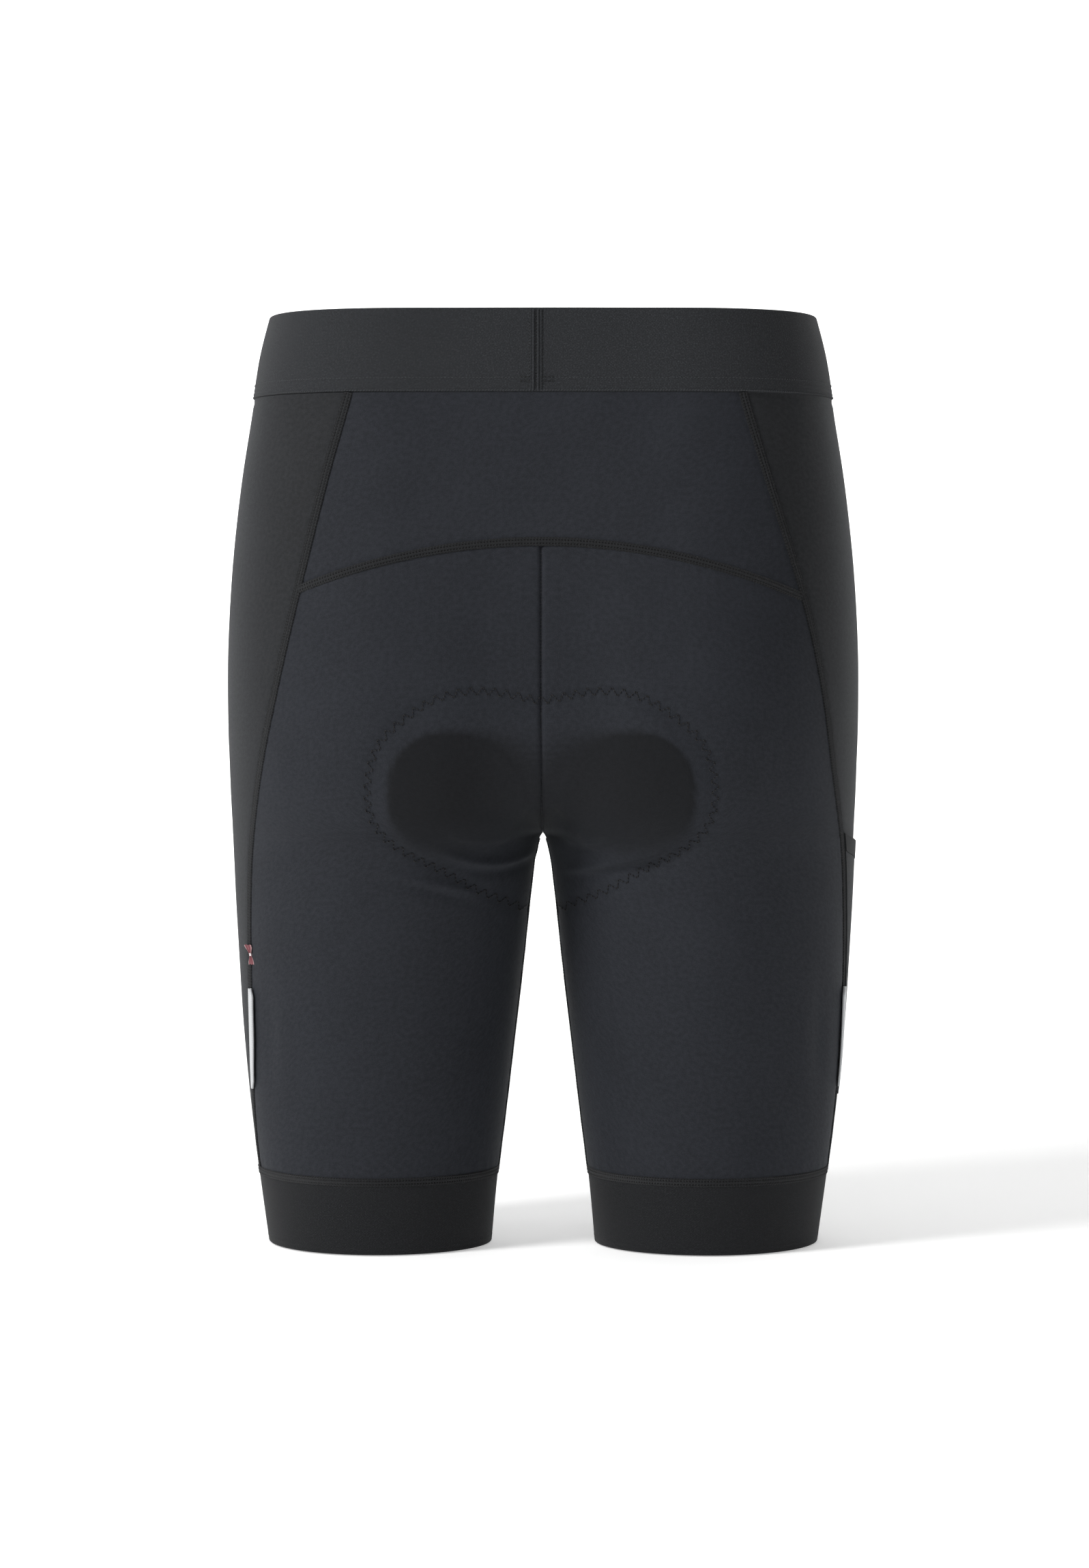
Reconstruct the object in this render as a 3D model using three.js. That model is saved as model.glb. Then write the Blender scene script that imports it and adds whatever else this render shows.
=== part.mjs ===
// Padded cycling trousers that end above the knee, in the hollow shape they take when worn.
// Millimetres, +Z up. The origin is the middle of the waist, halfway up the waistband.
// +X is the wearer's right, +Y is the way the wearer faces, so the seat looks along -Y.
//
// Every cloth piece is a wall built on one surface. The surface of the right half is worked out
// from the section table: a place on it is (across, row). Across runs 0 to 4 round the body:
// 0 middle of the back or inseam, 1 rearmost line, 2 outer side, 3 foremost line, 4 middle of the
// front or inseam. Row counts the sections down from the waist. The left half is its mirror.
import * as THREE from 'three';

// Waistband and leg bands
const WAIST_TOP_Z = 22.5;
const WAIST_SEAM_Z = -22.5;
const WAISTBAND_WALL = 2.2;
const WAISTBAND_PROUD = 0.7;
const HEM_SEAM_Z = -450;
const HEM_EDGE_Z = -490.4;
const HEM_WALL = 1.6;
const HEM_PROUD = 0.1;

// Panels
const PANEL_WALL = 1.5;
const SEAM_GAP = 0.3;
const YOKE_MIDDLE_Z = -102.5;
const YOKE_DROP = 24.6;
const YOKE_HALF_WIDTH = 128;

// Seat pad
const PAD_CLEAR = 0.9;
const PAD_CROTCH_CLEAR = 0.7;
const PAD_EDGE_WALL = 2.5;
const PAD_EXTRA_WALL = 6;
const PAD_INSEAM_Z = -308;
const PAD_RELIEF = 1.4;
const PAD_RELIEF_EDGE = 14;
const LOBE = { x: 45, z: -238, halfWidth: 37, halfHeight: 36, height: 1.1 };

// The pad's relief fades out down the thighs, and between the legs
const THIGH_FADE = { lowZ: -296, highZ: -262 };
const CROTCH_FADE = { lowZ: -264, highZ: -250, nearX: 6, farX: 26 };

// Pocket on the right side panel
const POCKET_TOP_Z = -260.5;
const POCKET_TOP_DROP = 15;
const POCKET_HEM_HEIGHT = 9.7;
const POCKET_BOTTOM_Z = -408;
const POCKET_CLEAR = 0.5;
const POCKET_WALL = 1.2;
const POCKET_HEM_WALL = 1.9;
const POCKET_INSET = 1.8;

// Folded reflective tabs, caught in the back side seams
const TAB_TOP_Z = -344.5;
const TAB_BOTTOM_Z = -401.5;
const TAB_REACH = 6;
const TAB_WALL = 1.3;
const TAB_LIFT = THREE.MathUtils.degToRad(28);
const TAB_CLEAR = 0.35;
const TAB_CORNER = 5;
const TAB_END_SHARE = 0.45;

// Ribbon tag, tacked at its middle on the left back side seam
const RIBBON = { z: -327.5, height: 11, halfWidth: 3.1, pinchHalfWidth: 1.3, puff: 1.3, wall: 0.9 };
const RIBBON_CLEAR = 0.35;
const RIBBON_TILT = 0.22;
const RIBBON_FLARED_BY = 0.9;

// Quads across and down each piece
const SEAT_COLUMNS = 14;
const SIDE_COLUMNS = 9;
const FRONT_COLUMNS = 10;
const YOKE_COLUMNS = 18;
const YOKE_ROWS = 6;
const RING_COLUMNS = 64;
const HEM_COLUMNS = 36;
const BAND_ROWS = 2;
const PAD_COLUMNS = 7;
const PAD_TOP_SPANS = 3;
const PAD_LOWER_ROWS = 4;
const POCKET_ROWS = 9;
const POCKET_HEM_ROWS = 2;
const TAB_ROWS = 9;
const RIBBON_ROWS = 8;

// Places round the body, in quarters
const BACK_MIDDLE = 0;
const REARMOST = 1;
const OUTER_SIDE = 2;
const FOREMOST = 3;
const FRONT_MIDDLE = 4;

// Rows down the long panels below the first stretch, closer together under the seat
const CROTCH_ROW = 10;
const FIXED_ROWS = [6, 6.7, 7.4, 8, 8.5, 9, 9.5, 9.8, 10, 10.2, 10.5, 11, 11.5, 12, 12.6, 13.3];
const FIRST_FIXED_ROW = FIXED_ROWS[0];
const LAST_FIXED_ROW = FIXED_ROWS[FIXED_ROWS.length - 1];
const PAD_FIXED_FROM = 7;
const UPPER_SPANS = 6;
const LEG_SPANS = 7;

// Rows between which the yoke's seam and the pad's top and bottom edges lie
const YOKE_SEAM_FROM = 1;
const PAD_TOP_BETWEEN = [5, 9];
const PAD_BOTTOM_TO = 14.5;

const table = (columns, rows) =>
  rows.map((row) => Object.fromEntries(columns.map((name, i) => [name, row[i]])));

// Sections of the right half. z is the height at the outer side and zIn at the middle or inseam.
// out, back and front are the outermost, rearmost and foremost points. in and mid are the middle
// lines, which meet at the crotch and go on as one inseam. turn is how far the section has turned
// from running across to running fore and aft where it meets the middle. full is the roundness.
const SECTIONS = table(
  [
    'z', 'zIn', 'outX', 'outY', 'backX', 'backY', 'frontX', 'frontY',
    'inX', 'midBackY', 'midFrontY', 'turn', 'full',
  ],
  [
    [24, 24, 150.2, 0, 68, -98, 60, 92, 0, -99, 94, 0, 0.66],
    [0, 0, 156.3, 0, 70, -101, 62, 94, 0, -102, 96, 0, 0.66],
    [-30, -30, 161, 0, 72, -105, 64, 96, 0, -105.5, 98, 0, 0.65],
    [-70, -70, 167.3, 0, 74, -111, 66, 98, 0, -110.5, 99, 0, 0.63],
    [-115, -115, 172.3, 1, 76, -119, 68, 100, 0, -116.5, 99.5, 0, 0.61],
    [-160, -160, 174.9, 2, 78, -126, 70, 101, 0, -121, 98, 0, 0.6],
    [-200, -200, 175.1, 3, 80, -127, 72, 101, 0, -120, 93, 0, 0.59],
    [-225, -227, 174.4, 4, 82, -122.5, 75, 100.4, 0, -109, 84, 0.1, 0.581],
    [-242, -246.5, 173.9, 4.6, 83.5, -116.6, 77.5, 99.6, 0, -86, 66, 0.35, 0.574],
    [-254, -258, 173.3, 4.9, 84.7, -111.7, 79.3, 98.8, 0, -52, 34, 0.7, 0.569],
    [-264, -262, 172.9, 5, 85.7, -107.7, 80.8, 98, 0, -10, -10, 0.95, 0.565],
    [-274, -266, 172.5, 5, 86.6, -103.9, 82.4, 97.1, 2.2, -10, -10, 1, 0.561],
    [-286, -277, 172, 4.9, 87.6, -100.3, 84.2, 95.9, 4.7, -10, -10, 1, 0.557],
    [-300, -296, 171.4, 4.7, 88.6, -96.9, 86.1, 94.3, 7.1, -9.5, -9.5, 1, 0.5535],
    [-330, -329, 169.7, 4, 90.2, -90.4, 89.3, 90.7, 10.6, -8, -8, 1, 0.5523],
    [-370, -370, 167.2, 3, 91.4, -82.3, 91.4, 85.5, 15.4, -7, -7, 1, 0.5523],
    [-415, -415, 163, 2.5, 91.9, -75, 91.9, 79.3, 20.7, -6, -6, 1, 0.5523],
    [-455, -455, 158, 2, 91.8, -69.5, 91.8, 73.5, 25.6, -5, -5, 1, 0.5523],
    [-492, -492, 152.9, 1.5, 91, -65, 91, 68, 29, -4, -4, 1, 0.5523],
  ],
);
const LAST_ROW = SECTIONS.length - 1;
const MIDDLE_COLUMNS = ['zIn', 'inX', 'midBackY', 'midFrontY', 'turn'];

// Side seams: how far out each one lies at a height. The back ones differ a little on the two sides.
const BACK_SEAM = table(['z', 'left', 'right'], [
  [30, 90, 91], [-29, 106.1, 107.5], [-68, 117.1, 120], [-134, 133.2, 141], [-178, 143.5, 151],
  [-223, 153.3, 157.8], [-268, 160.1, 164.3], [-303, 161.8, 166.1], [-337, 162, 166.5],
  [-374, 162, 165.6], [-401, 161.8, 163.8], [-430, 160.4, 160.8], [-450, 158.1, 158.2], [-495, 152, 152],
]);
const FRONT_SEAM = table(['z', 'x'], [
  [30, 92], [-25, 98], [-127, 120], [-178, 128], [-236, 134],
  [-280, 136], [-344, 136], [-401, 134], [-450, 131], [-495, 128],
]);

// Outline of the seat pad on the back and on the front: its side edge, and its top and bottom edges
const PAD_SIDE_BACK = table(['z', 'x'], [
  [-180, 48], [-190, 62], [-208, 85], [-228, 91.3], [-240, 92.3],
  [-252, 89.5], [-266, 77], [-276, 58.5], [-288, 39], [-310, 20],
]);
const PAD_TOP_BACK = table(['x', 'z'], [
  [0, -187], [18, -183.6], [34.5, -181.7], [50, -184], [62, -190], [90, -212],
]);
const PAD_SIDE_FRONT = table(['z', 'x'], [
  [-190, 52], [-200, 55], [-215, 58], [-250, 57], [-266, 51], [-276, 40], [-288, 30], [-310, 16],
]);
const PAD_TOP_FRONT = table(['x', 'z'], [[0, -196], [30, -196.8], [55, -200], [80, -206]]);
const PAD_BOTTOM = table(['x', 'z'], [
  [-5, PAD_INSEAM_Z], [8, -307.5], [18, -299], [30, -292], [39, -288], [60, -276],
]);

// Largest folds, each a soft ridge through three places. face is -1 on the back and 1 on the front.
const FOLDS = table(
  ['side', 'face', 'startX', 'startZ', 'midX', 'midZ', 'endX', 'endZ', 'height', 'width'],
  [
    [-1, -1, 5, -270.5, 29, -275.6, 57, -265.5, 1.5, 4.6],
    [-1, -1, 35, -292, 58, -285.8, 83, -280, 1.3, 4.4],
    [1, -1, 15, -281, 36, -275, 61, -269, 1.4, 4.6],
    [1, 1, 20, -268, 48, -255, 84, -226, 1.5, 5.4],
    [-1, 1, 24, -272, 52, -257, 80, -232, 1.3, 5],
    [-1, 1, 30, -292, 54, -284, 82, -272, 1.1, 5],
  ],
);

// Colours
const NAVY_KNIT = { color: '#272c31', roughness: 0.86, metalness: 0 };
const GREY_KNIT = { color: '#2f3032', roughness: 0.84, metalness: 0 };
const BAND_KNIT = { color: '#2b2d30', roughness: 0.9, metalness: 0 };
const HEM_KNIT = { color: '#1f2022', roughness: 0.88, metalness: 0 };
const PAD_FOAM = { color: '#3a3f47', roughness: 0.95, metalness: 0 };
const REFLECTIVE = { color: '#a9abad', roughness: 0.42, metalness: 0.25 };
const RIBBON_RED = { color: '#93545b', roughness: 0.7, metalness: 0 };

const { clamp, lerp, smoothstep } = THREE.MathUtils;
const HALF_GAP = SEAM_GAP / 2;
const NORMAL_STEP = 0.05;
const SOLVER_STEPS = 34;
const AT_EDGE = 1e-6;
const SHORT_STEP = 1e-4;
const SHARED_WITHIN = 0.002;
const BLEND_ROWS = 0.55;
const BLEND_REACH = 2.6;
const BLEND_FROM_MIDDLE = 0.55;
const BLEND_PARTS = [1, 4, 6, 4, 1];
const BLEND_WEIGHTS = BLEND_PARTS.map((part) => part / 16);

// Smooth curve through the rows of a table, read from one column to another.
function curveAt(rows, from, to, at) {
  const rising = rows[1][from] > rows[0][from];
  let i = 0;
  while (i < rows.length - 2 && (rising ? at > rows[i + 1][from] : at < rows[i + 1][from])) i += 1;
  const slope = (a, b) => (rows[b][to] - rows[a][to]) / (rows[b][from] - rows[a][from]);
  const span = rows[i + 1][from] - rows[i][from];
  const t = (at - rows[i][from]) / span;
  const start = slope(Math.max(i - 1, 0), i + 1) * span;
  const end = slope(i, Math.min(i + 2, rows.length - 1)) * span;
  const rise = rows[i + 1][to] - rows[i][to];
  return rows[i][to] + t * (start + t * (3 * rise - 2 * start - end + t * (start + end - 2 * rise)));
}

// Where a rising or falling function crosses zero between two values.
function solve(gap, low, high) {
  const falling = gap(low) > gap(high);
  let from = low;
  let to = high;
  for (let i = 0; i < SOLVER_STEPS; i += 1) {
    const middle = (from + to) / 2;
    const before = gap(middle) > 0 === falling;
    from = before ? middle : from;
    to = before ? to : middle;
  }
  return (from + to) / 2;
}

// One column of the section table at a row between sections.
function sectionValue(name, row) {
  const middle = MIDDLE_COLUMNS.includes(name);
  const low = middle && row >= CROTCH_ROW ? CROTCH_ROW : 0;
  const high = middle && row < CROTCH_ROW ? CROTCH_ROW : LAST_ROW;
  const i = clamp(Math.floor(row), low, high - 1);
  const at = (k) => SECTIONS[clamp(k, low, high)][name];
  const [a, b, c, d] = [at(i - 1), at(i), at(i + 1), at(i + 2)];
  const t = row - i;
  return b + 0.5 * t * (c - a + t * (2 * a - 5 * b + 4 * c - d + t * (3 * (b - c) + d - a)));
}

// All columns at a row, kept for the many places that share it.
const knownSections = new Map();
function sectionAt(row) {
  if (!knownSections.has(row)) {
    const names = Object.keys(SECTIONS[0]);
    knownSections.set(row, Object.fromEntries(names.map((name) => [name, sectionValue(name, row)])));
  }
  return knownSections.get(row);
}

const cubic = (a, b, c, d, t) =>
  a * (1 - t) ** 3 + 3 * b * t * (1 - t) ** 2 + 3 * c * t * t * (1 - t) + d * t ** 3;

// Point of the right half on one section.
function sectionPoint(across, row) {
  const s = sectionAt(row);
  const { full } = s;
  const turn = clamp(s.turn, 0, 1);
  const quarter = clamp(Math.floor(across), 0, 3);
  const front = quarter > 1;
  const out = { x: s.outX, y: s.outY, z: s.z };
  const middle = { x: Math.max(s.inX, 0), y: front ? s.midFrontY : s.midBackY, z: s.zIn };
  const far = { x: front ? s.frontX : s.backX, y: front ? s.frontY : s.backY };
  far.z = (out.z + middle.z) / 2;
  const inner = quarter === 0 || quarter === 3;
  const t = front ? quarter + 1 - across : across - quarter;
  if (inner) {
    const reachX = full * (far.x - middle.x);
    const reachY = full * (far.y - middle.y);
    return new THREE.Vector3(
      cubic(middle.x, middle.x + (1 - turn) * reachX, far.x - reachX, far.x, t),
      cubic(middle.y, middle.y + turn * reachY, far.y, far.y, t),
      lerp(middle.z, far.z, t),
    );
  }
  return new THREE.Vector3(
    cubic(far.x, far.x + full * (out.x - far.x), out.x, out.x, t),
    cubic(far.y, far.y, out.y + full * (far.y - out.y), out.y, t),
    lerp(far.z, out.z, t),
  );
}

// Point of the right half before any relief. Where the sections fan out from the crotch, each is
// blended with its neighbours, more so away from the middle lines.
function surfacePoint(across, row) {
  const fromMiddle = smoothstep(Math.min(across, FRONT_MIDDLE - across), 0, BLEND_FROM_MIDDLE);
  const spread = BLEND_ROWS * fromMiddle * Math.exp(-(((row - CROTCH_ROW) / BLEND_REACH) ** 2));
  if (spread < AT_EDGE) return sectionPoint(across, row);
  const point = new THREE.Vector3();
  BLEND_WEIGHTS.forEach((weight, i) => {
    const near = clamp(row + spread * (i - 2), 0, LAST_ROW);
    point.addScaledVector(sectionPoint(across, near), weight);
  });
  return point;
}

// Outward direction on the middle lines and the inseam, where the two halves have to agree.
function middleNormal(across, row) {
  if (Math.abs(row - CROTCH_ROW) < AT_EDGE) return new THREE.Vector3(0, 0, -1);
  const above = row < CROTCH_ROW;
  const from = clamp(row - NORMAL_STEP, above ? 0 : CROTCH_ROW, LAST_ROW);
  const to = clamp(row + NORMAL_STEP, 0, above ? CROTCH_ROW : LAST_ROW);
  const down = surfacePoint(across, to).sub(surfacePoint(across, from));
  if (!above) return new THREE.Vector3(down.z, 0, -down.x).normalize();
  const face = across < OUTER_SIDE ? 1 : -1;
  return new THREE.Vector3(0, face * down.z, -face * down.y).normalize();
}

function surfaceNormal(across, row) {
  if (across < AT_EDGE || across > FRONT_MIDDLE - AT_EDGE) return middleNormal(across, row);
  const right = surfacePoint(Math.min(across + NORMAL_STEP, FRONT_MIDDLE), row);
  const left = surfacePoint(Math.max(across - NORMAL_STEP, BACK_MIDDLE), row);
  const below = surfacePoint(across, Math.min(row + NORMAL_STEP, LAST_ROW));
  const above = surfacePoint(across, Math.max(row - NORMAL_STEP, 0));
  return below.sub(above).cross(right.sub(left)).normalize();
}

// Height that the pad and its two lobes lift the seat cloth, fading out between the legs.
function padRelief(x, z) {
  const inside = Math.min(curveAt(PAD_SIDE_BACK, 'z', 'x', z) - x, curveAt(PAD_TOP_BACK, 'x', 'z', x) - z);
  const lobe = Math.hypot((x - LOBE.x) / LOBE.halfWidth, (z - LOBE.z) / LOBE.halfHeight);
  const raised = PAD_RELIEF * smoothstep(inside, 0, PAD_RELIEF_EDGE);
  const crown = LOBE.height * (1 - Math.min(lobe, 1) ** 2) ** 2;
  const low = 1 - smoothstep(z, CROTCH_FADE.lowZ, CROTCH_FADE.highZ);
  const near = 1 - smoothstep(x, CROTCH_FADE.nearX, CROTCH_FADE.farX);
  return (raised + crown) * (1 - low * near) * smoothstep(z, THIGH_FADE.lowZ, THIGH_FADE.highZ);
}

function foldRelief(x, z, side, face) {
  let lift = 0;
  for (const fold of FOLDS) {
    const t = (x - fold.startX) / (fold.endX - fold.startX);
    if (fold.side === side && fold.face === face && t > 0 && t < 1) {
      const bend = fold.midZ - (fold.startZ + fold.endZ) / 2;
      const crest = lerp(fold.startZ, fold.endZ, t) + 4 * bend * t * (1 - t);
      lift += fold.height * Math.sin(Math.PI * t) * Math.exp(-(((z - crest) / fold.width) ** 2));
    }
  }
  return lift;
}

// Point and outward direction on either half, lifted by the pad and, on the panels, by the folds.
function bodyPlace(across, row, side, withFolds) {
  const point = surfacePoint(across, row);
  const normal = surfaceNormal(across, row);
  const face = across < OUTER_SIDE ? -1 : 1;
  let lift = face < 0 ? padRelief(point.x, point.z) : 0;
  if (withFolds) lift += foldRelief(point.x, point.z, side, face);
  point.addScaledVector(normal, lift);
  point.x *= side;
  normal.x *= side;
  return { point, normal };
}

// Seams and edges as places on the surface
const rowAtHeight = (z) => solve((row) => surfacePoint(OUTER_SIDE, row).z - z, 0, LAST_ROW);

function acrossAtBackSeam(row, side) {
  const gap = (u) => {
    const p = surfacePoint(u, row);
    return p.x - curveAt(BACK_SEAM, 'z', side > 0 ? 'right' : 'left', p.z);
  };
  return solve(gap, REARMOST, OUTER_SIDE);
}

function acrossAtFrontSeam(row) {
  const gap = (u) => {
    const p = surfacePoint(u, row);
    return p.x - curveAt(FRONT_SEAM, 'z', 'x', p.z);
  };
  return solve(gap, OUTER_SIDE, FOREMOST);
}

// Moves a place round the body by a length along the surface.
function besideBy(across, row, length) {
  const step = surfacePoint(across + SHORT_STEP, row).distanceTo(surfacePoint(across, row));
  return across + (length * SHORT_STEP) / step;
}

const yokeSeamZ = (x) => YOKE_MIDDLE_Z - YOKE_DROP * (x / YOKE_HALF_WIDTH) ** 2;

// Row where a line down the surface meets a curve that is given as a height over x.
function rowWhere(acrossAt, heightAt, low, high) {
  const gap = (row) => {
    const p = surfacePoint(acrossAt(row), row);
    return p.z - heightAt(p.x);
  };
  return solve(gap, low, high);
}

// A sheet of triangles whose vertices hold an outer and an inner point. Vertices that coincide are
// shared, so halves join where they meet. wall() closes it into a solid.
class Sheet {
  constructor() {
    this.outer = [];
    this.inner = [];
    this.faces = [];
    this.known = new Map();
  }

  // clearOf is the nearest that the vertex may come to the middle plane, signed by its side.
  vertex({ point, normal }, proud, thickness, clearOf = 0) {
    const outer = point.clone().addScaledVector(normal, proud);
    const inner = point.clone().addScaledVector(normal, proud - thickness);
    for (const p of [outer, inner]) {
      if (clearOf > 0) p.x = Math.max(p.x, clearOf);
      if (clearOf < 0) p.x = Math.min(p.x, clearOf);
    }
    const key = outer.toArray().map((value) => Math.round(value / SHARED_WITHIN)).join();
    if (!this.known.has(key)) {
      this.known.set(key, this.outer.length);
      this.outer.push(outer);
      this.inner.push(inner);
    }
    return this.known.get(key);
  }

  // rows of vertex numbers; each row runs round the body and the rows run down it
  grid(rows, side) {
    for (let i = 0; i + 1 < rows.length; i += 1) {
      for (let j = 0; j + 1 < rows[i].length; j += 1) {
        const [a, b, c, d] = [rows[i][j], rows[i + 1][j], rows[i][j + 1], rows[i + 1][j + 1]];
        this.face(a, b, c, side);
        this.face(c, b, d, side);
      }
    }
  }

  face(a, b, c, side) {
    if (a === b || b === c || c === a) return;
    this.faces.push(side > 0 ? [a, b, c] : [a, c, b]);
  }

  wall() {
    const edges = new Map();
    for (const [a, b, c] of this.faces) {
      for (const [from, to] of [[a, b], [b, c], [c, a]]) edges.set(`${from},${to}`, [from, to]);
    }
    const count = this.outer.length;
    const index = [];
    for (const [a, b, c] of this.faces) index.push(a, b, c, a + count, c + count, b + count);
    for (const [from, to] of edges.values()) {
      if (edges.has(`${to},${from}`)) continue;
      index.push(to, from, from + count, to, from + count, to + count);
    }
    const positions = [...this.outer, ...this.inner].flatMap((p) => p.toArray());
    const geometry = new THREE.BufferGeometry();
    geometry.setAttribute('position', new THREE.Float32BufferAttribute(positions, 3));
    geometry.setIndex(index);
    geometry.computeVertexNormals();
    return geometry;
  }
}

const steps = (count) => Array.from({ length: count + 1 }, (_, i) => i / count);

// A panel of one half. acrossFrom and acrossTo give its two edges at a row, rowsAt its rows at a
// share of its width.
function panelGeometry({ side, columns, acrossFrom, acrossTo, rowsAt, proud = 0, wall = PANEL_WALL }) {
  const sheet = new Sheet();
  const downColumns = steps(columns).map((share) =>
    rowsAt(share).map((row) => {
      const across = lerp(acrossFrom(row), acrossTo(row), share);
      return sheet.vertex(bodyPlace(across, row, side, true), proud, wall, side * HALF_GAP);
    }),
  );
  sheet.grid(downColumns[0].map((_, i) => downColumns.map((column) => column[i])), side);
  return sheet.wall();
}

// Rows of a long panel whose top edge lies at a row of its own in each column.
function longPanelRows(topRow) {
  const bottom = rowAtHeight(HEM_SEAM_Z + HALF_GAP);
  const upper = steps(UPPER_SPANS).slice(0, -1).map((t) => lerp(topRow, FIRST_FIXED_ROW, t));
  const leg = steps(LEG_SPANS).slice(1).map((t) => lerp(LAST_FIXED_ROW, bottom, t));
  return [...upper, ...FIXED_ROWS, ...leg];
}

// Edge of a panel on the middle line, or a little beside the inseam below the crotch.
const backMiddle = (row) => (row < CROTCH_ROW ? BACK_MIDDLE : besideBy(BACK_MIDDLE, row, HALF_GAP));
const frontMiddle = (row) => FRONT_MIDDLE - backMiddle(row);

function seatGeometry(side) {
  const edge = (row) => besideBy(acrossAtBackSeam(row, side), row, -HALF_GAP);
  const topRow = (share) => {
    const across = (row) => lerp(backMiddle(row), edge(row), share);
    return rowWhere(across, (x) => yokeSeamZ(x) - HALF_GAP, YOKE_SEAM_FROM, FIRST_FIXED_ROW);
  };
  return panelGeometry({
    side, columns: SEAT_COLUMNS,
    acrossFrom: backMiddle, acrossTo: edge, rowsAt: (share) => longPanelRows(topRow(share)),
  });
}

function sideGeometry(side) {
  const rows = longPanelRows(rowAtHeight(WAIST_SEAM_Z - SEAM_GAP));
  return panelGeometry({
    side, columns: SIDE_COLUMNS,
    acrossFrom: (row) => besideBy(acrossAtBackSeam(row, side), row, HALF_GAP),
    acrossTo: (row) => besideBy(acrossAtFrontSeam(row), row, -HALF_GAP),
    rowsAt: () => rows,
  });
}

function frontGeometry(side) {
  const rows = longPanelRows(rowAtHeight(WAIST_SEAM_Z - SEAM_GAP));
  return panelGeometry({
    side, columns: FRONT_COLUMNS,
    acrossFrom: (row) => besideBy(acrossAtFrontSeam(row), row, HALF_GAP),
    acrossTo: frontMiddle,
    rowsAt: () => rows,
  });
}

function yokeGeometry() {
  const sheet = new Sheet();
  const topRow = rowAtHeight(WAIST_SEAM_Z - SEAM_GAP);
  for (const side of [1, -1]) {
    const edge = (row) => besideBy(acrossAtBackSeam(row, side), row, -HALF_GAP);
    const columns = steps(YOKE_COLUMNS / 2).map((share) => {
      const across = (row) => edge(row) * share;
      const bottomRow = rowWhere(across, (x) => yokeSeamZ(x) + HALF_GAP, YOKE_SEAM_FROM, FIRST_FIXED_ROW);
      return steps(YOKE_ROWS).map((t) => {
        const row = lerp(topRow, bottomRow, t);
        return sheet.vertex(bodyPlace(across(row), row, side, true), 0, PANEL_WALL);
      });
    });
    sheet.grid(columns[0].map((_, i) => columns.map((column) => column[i])), side);
  }
  return sheet.wall();
}

// A ring all round the body, or round one leg, between two heights.
function ringGeometry({ sides, columns, topZ, bottomZ, proud, wall }) {
  const sheet = new Sheet();
  const [top, bottom] = [rowAtHeight(topZ), rowAtHeight(bottomZ)];
  for (const side of sides) {
    const rows = steps(BAND_ROWS).map((t) =>
      steps(columns).map((share) => {
        const place = bodyPlace(FRONT_MIDDLE * share, lerp(top, bottom, t), side, false);
        return sheet.vertex(place, proud, wall);
      }),
    );
    sheet.grid(rows, side);
  }
  return sheet.wall();
}

// Half of the pad on the back or the front. Its rows end at the pad's top and bottom edges.
function addPadQuarter(sheet, side, middle, sideEdge, topEdge) {
  const back = middle === BACK_MIDDLE;
  const [nearest, farthest] = back ? [BACK_MIDDLE, OUTER_SIDE] : [OUTER_SIDE, FRONT_MIDDLE];
  const edge = (row) => {
    const gap = (u) => {
      const p = surfacePoint(u, row);
      return p.x - curveAt(sideEdge, 'z', 'x', p.z);
    };
    return solve(gap, nearest, farthest);
  };
  const columns = steps(PAD_COLUMNS).map((share) => {
    const across = (row) => lerp(middle, edge(row), share);
    const top = rowWhere(across, (x) => curveAt(topEdge, 'x', 'z', x), ...PAD_TOP_BETWEEN);
    const bottom = rowWhere(across, (x) => curveAt(PAD_BOTTOM, 'x', 'z', x), CROTCH_ROW, PAD_BOTTOM_TO);
    const place = (row, end) => {
      const thickness = PAD_EDGE_WALL + PAD_EXTRA_WALL * (1 - share ** 4) * (1 - end ** 4);
      const inset = PANEL_WALL + PAD_CLEAR + PAD_CROTCH_CLEAR * Math.exp(-((row - CROTCH_ROW) ** 2));
      return sheet.vertex(bodyPlace(across(row), row, side, false), -inset, thickness);
    };
    const fixed = FIXED_ROWS.filter((row) => row > PAD_FIXED_FROM && row <= CROTCH_ROW);
    const upper = [...steps(PAD_TOP_SPANS).slice(0, -1).map((t) => lerp(top, fixed[0], t)), ...fixed];
    const lower = steps(PAD_LOWER_ROWS).slice(1).map((t) => lerp(CROTCH_ROW, bottom, t));
    return [
      ...upper.map((row) => place(row, (CROTCH_ROW - row) / (CROTCH_ROW - top))),
      ...lower.map((row) => place(row, (row - CROTCH_ROW) / (bottom - CROTCH_ROW))),
    ];
  });
  const order = back ? columns : columns.reverse();
  sheet.grid(order[0].map((_, i) => order.map((column) => column[i])), side);
}

function padGeometry() {
  const sheet = new Sheet();
  for (const side of [1, -1]) {
    addPadQuarter(sheet, side, BACK_MIDDLE, PAD_SIDE_BACK, PAD_TOP_BACK);
    addPadQuarter(sheet, side, FRONT_MIDDLE, PAD_SIDE_FRONT, PAD_TOP_FRONT);
  }
  return sheet.wall();
}

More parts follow.
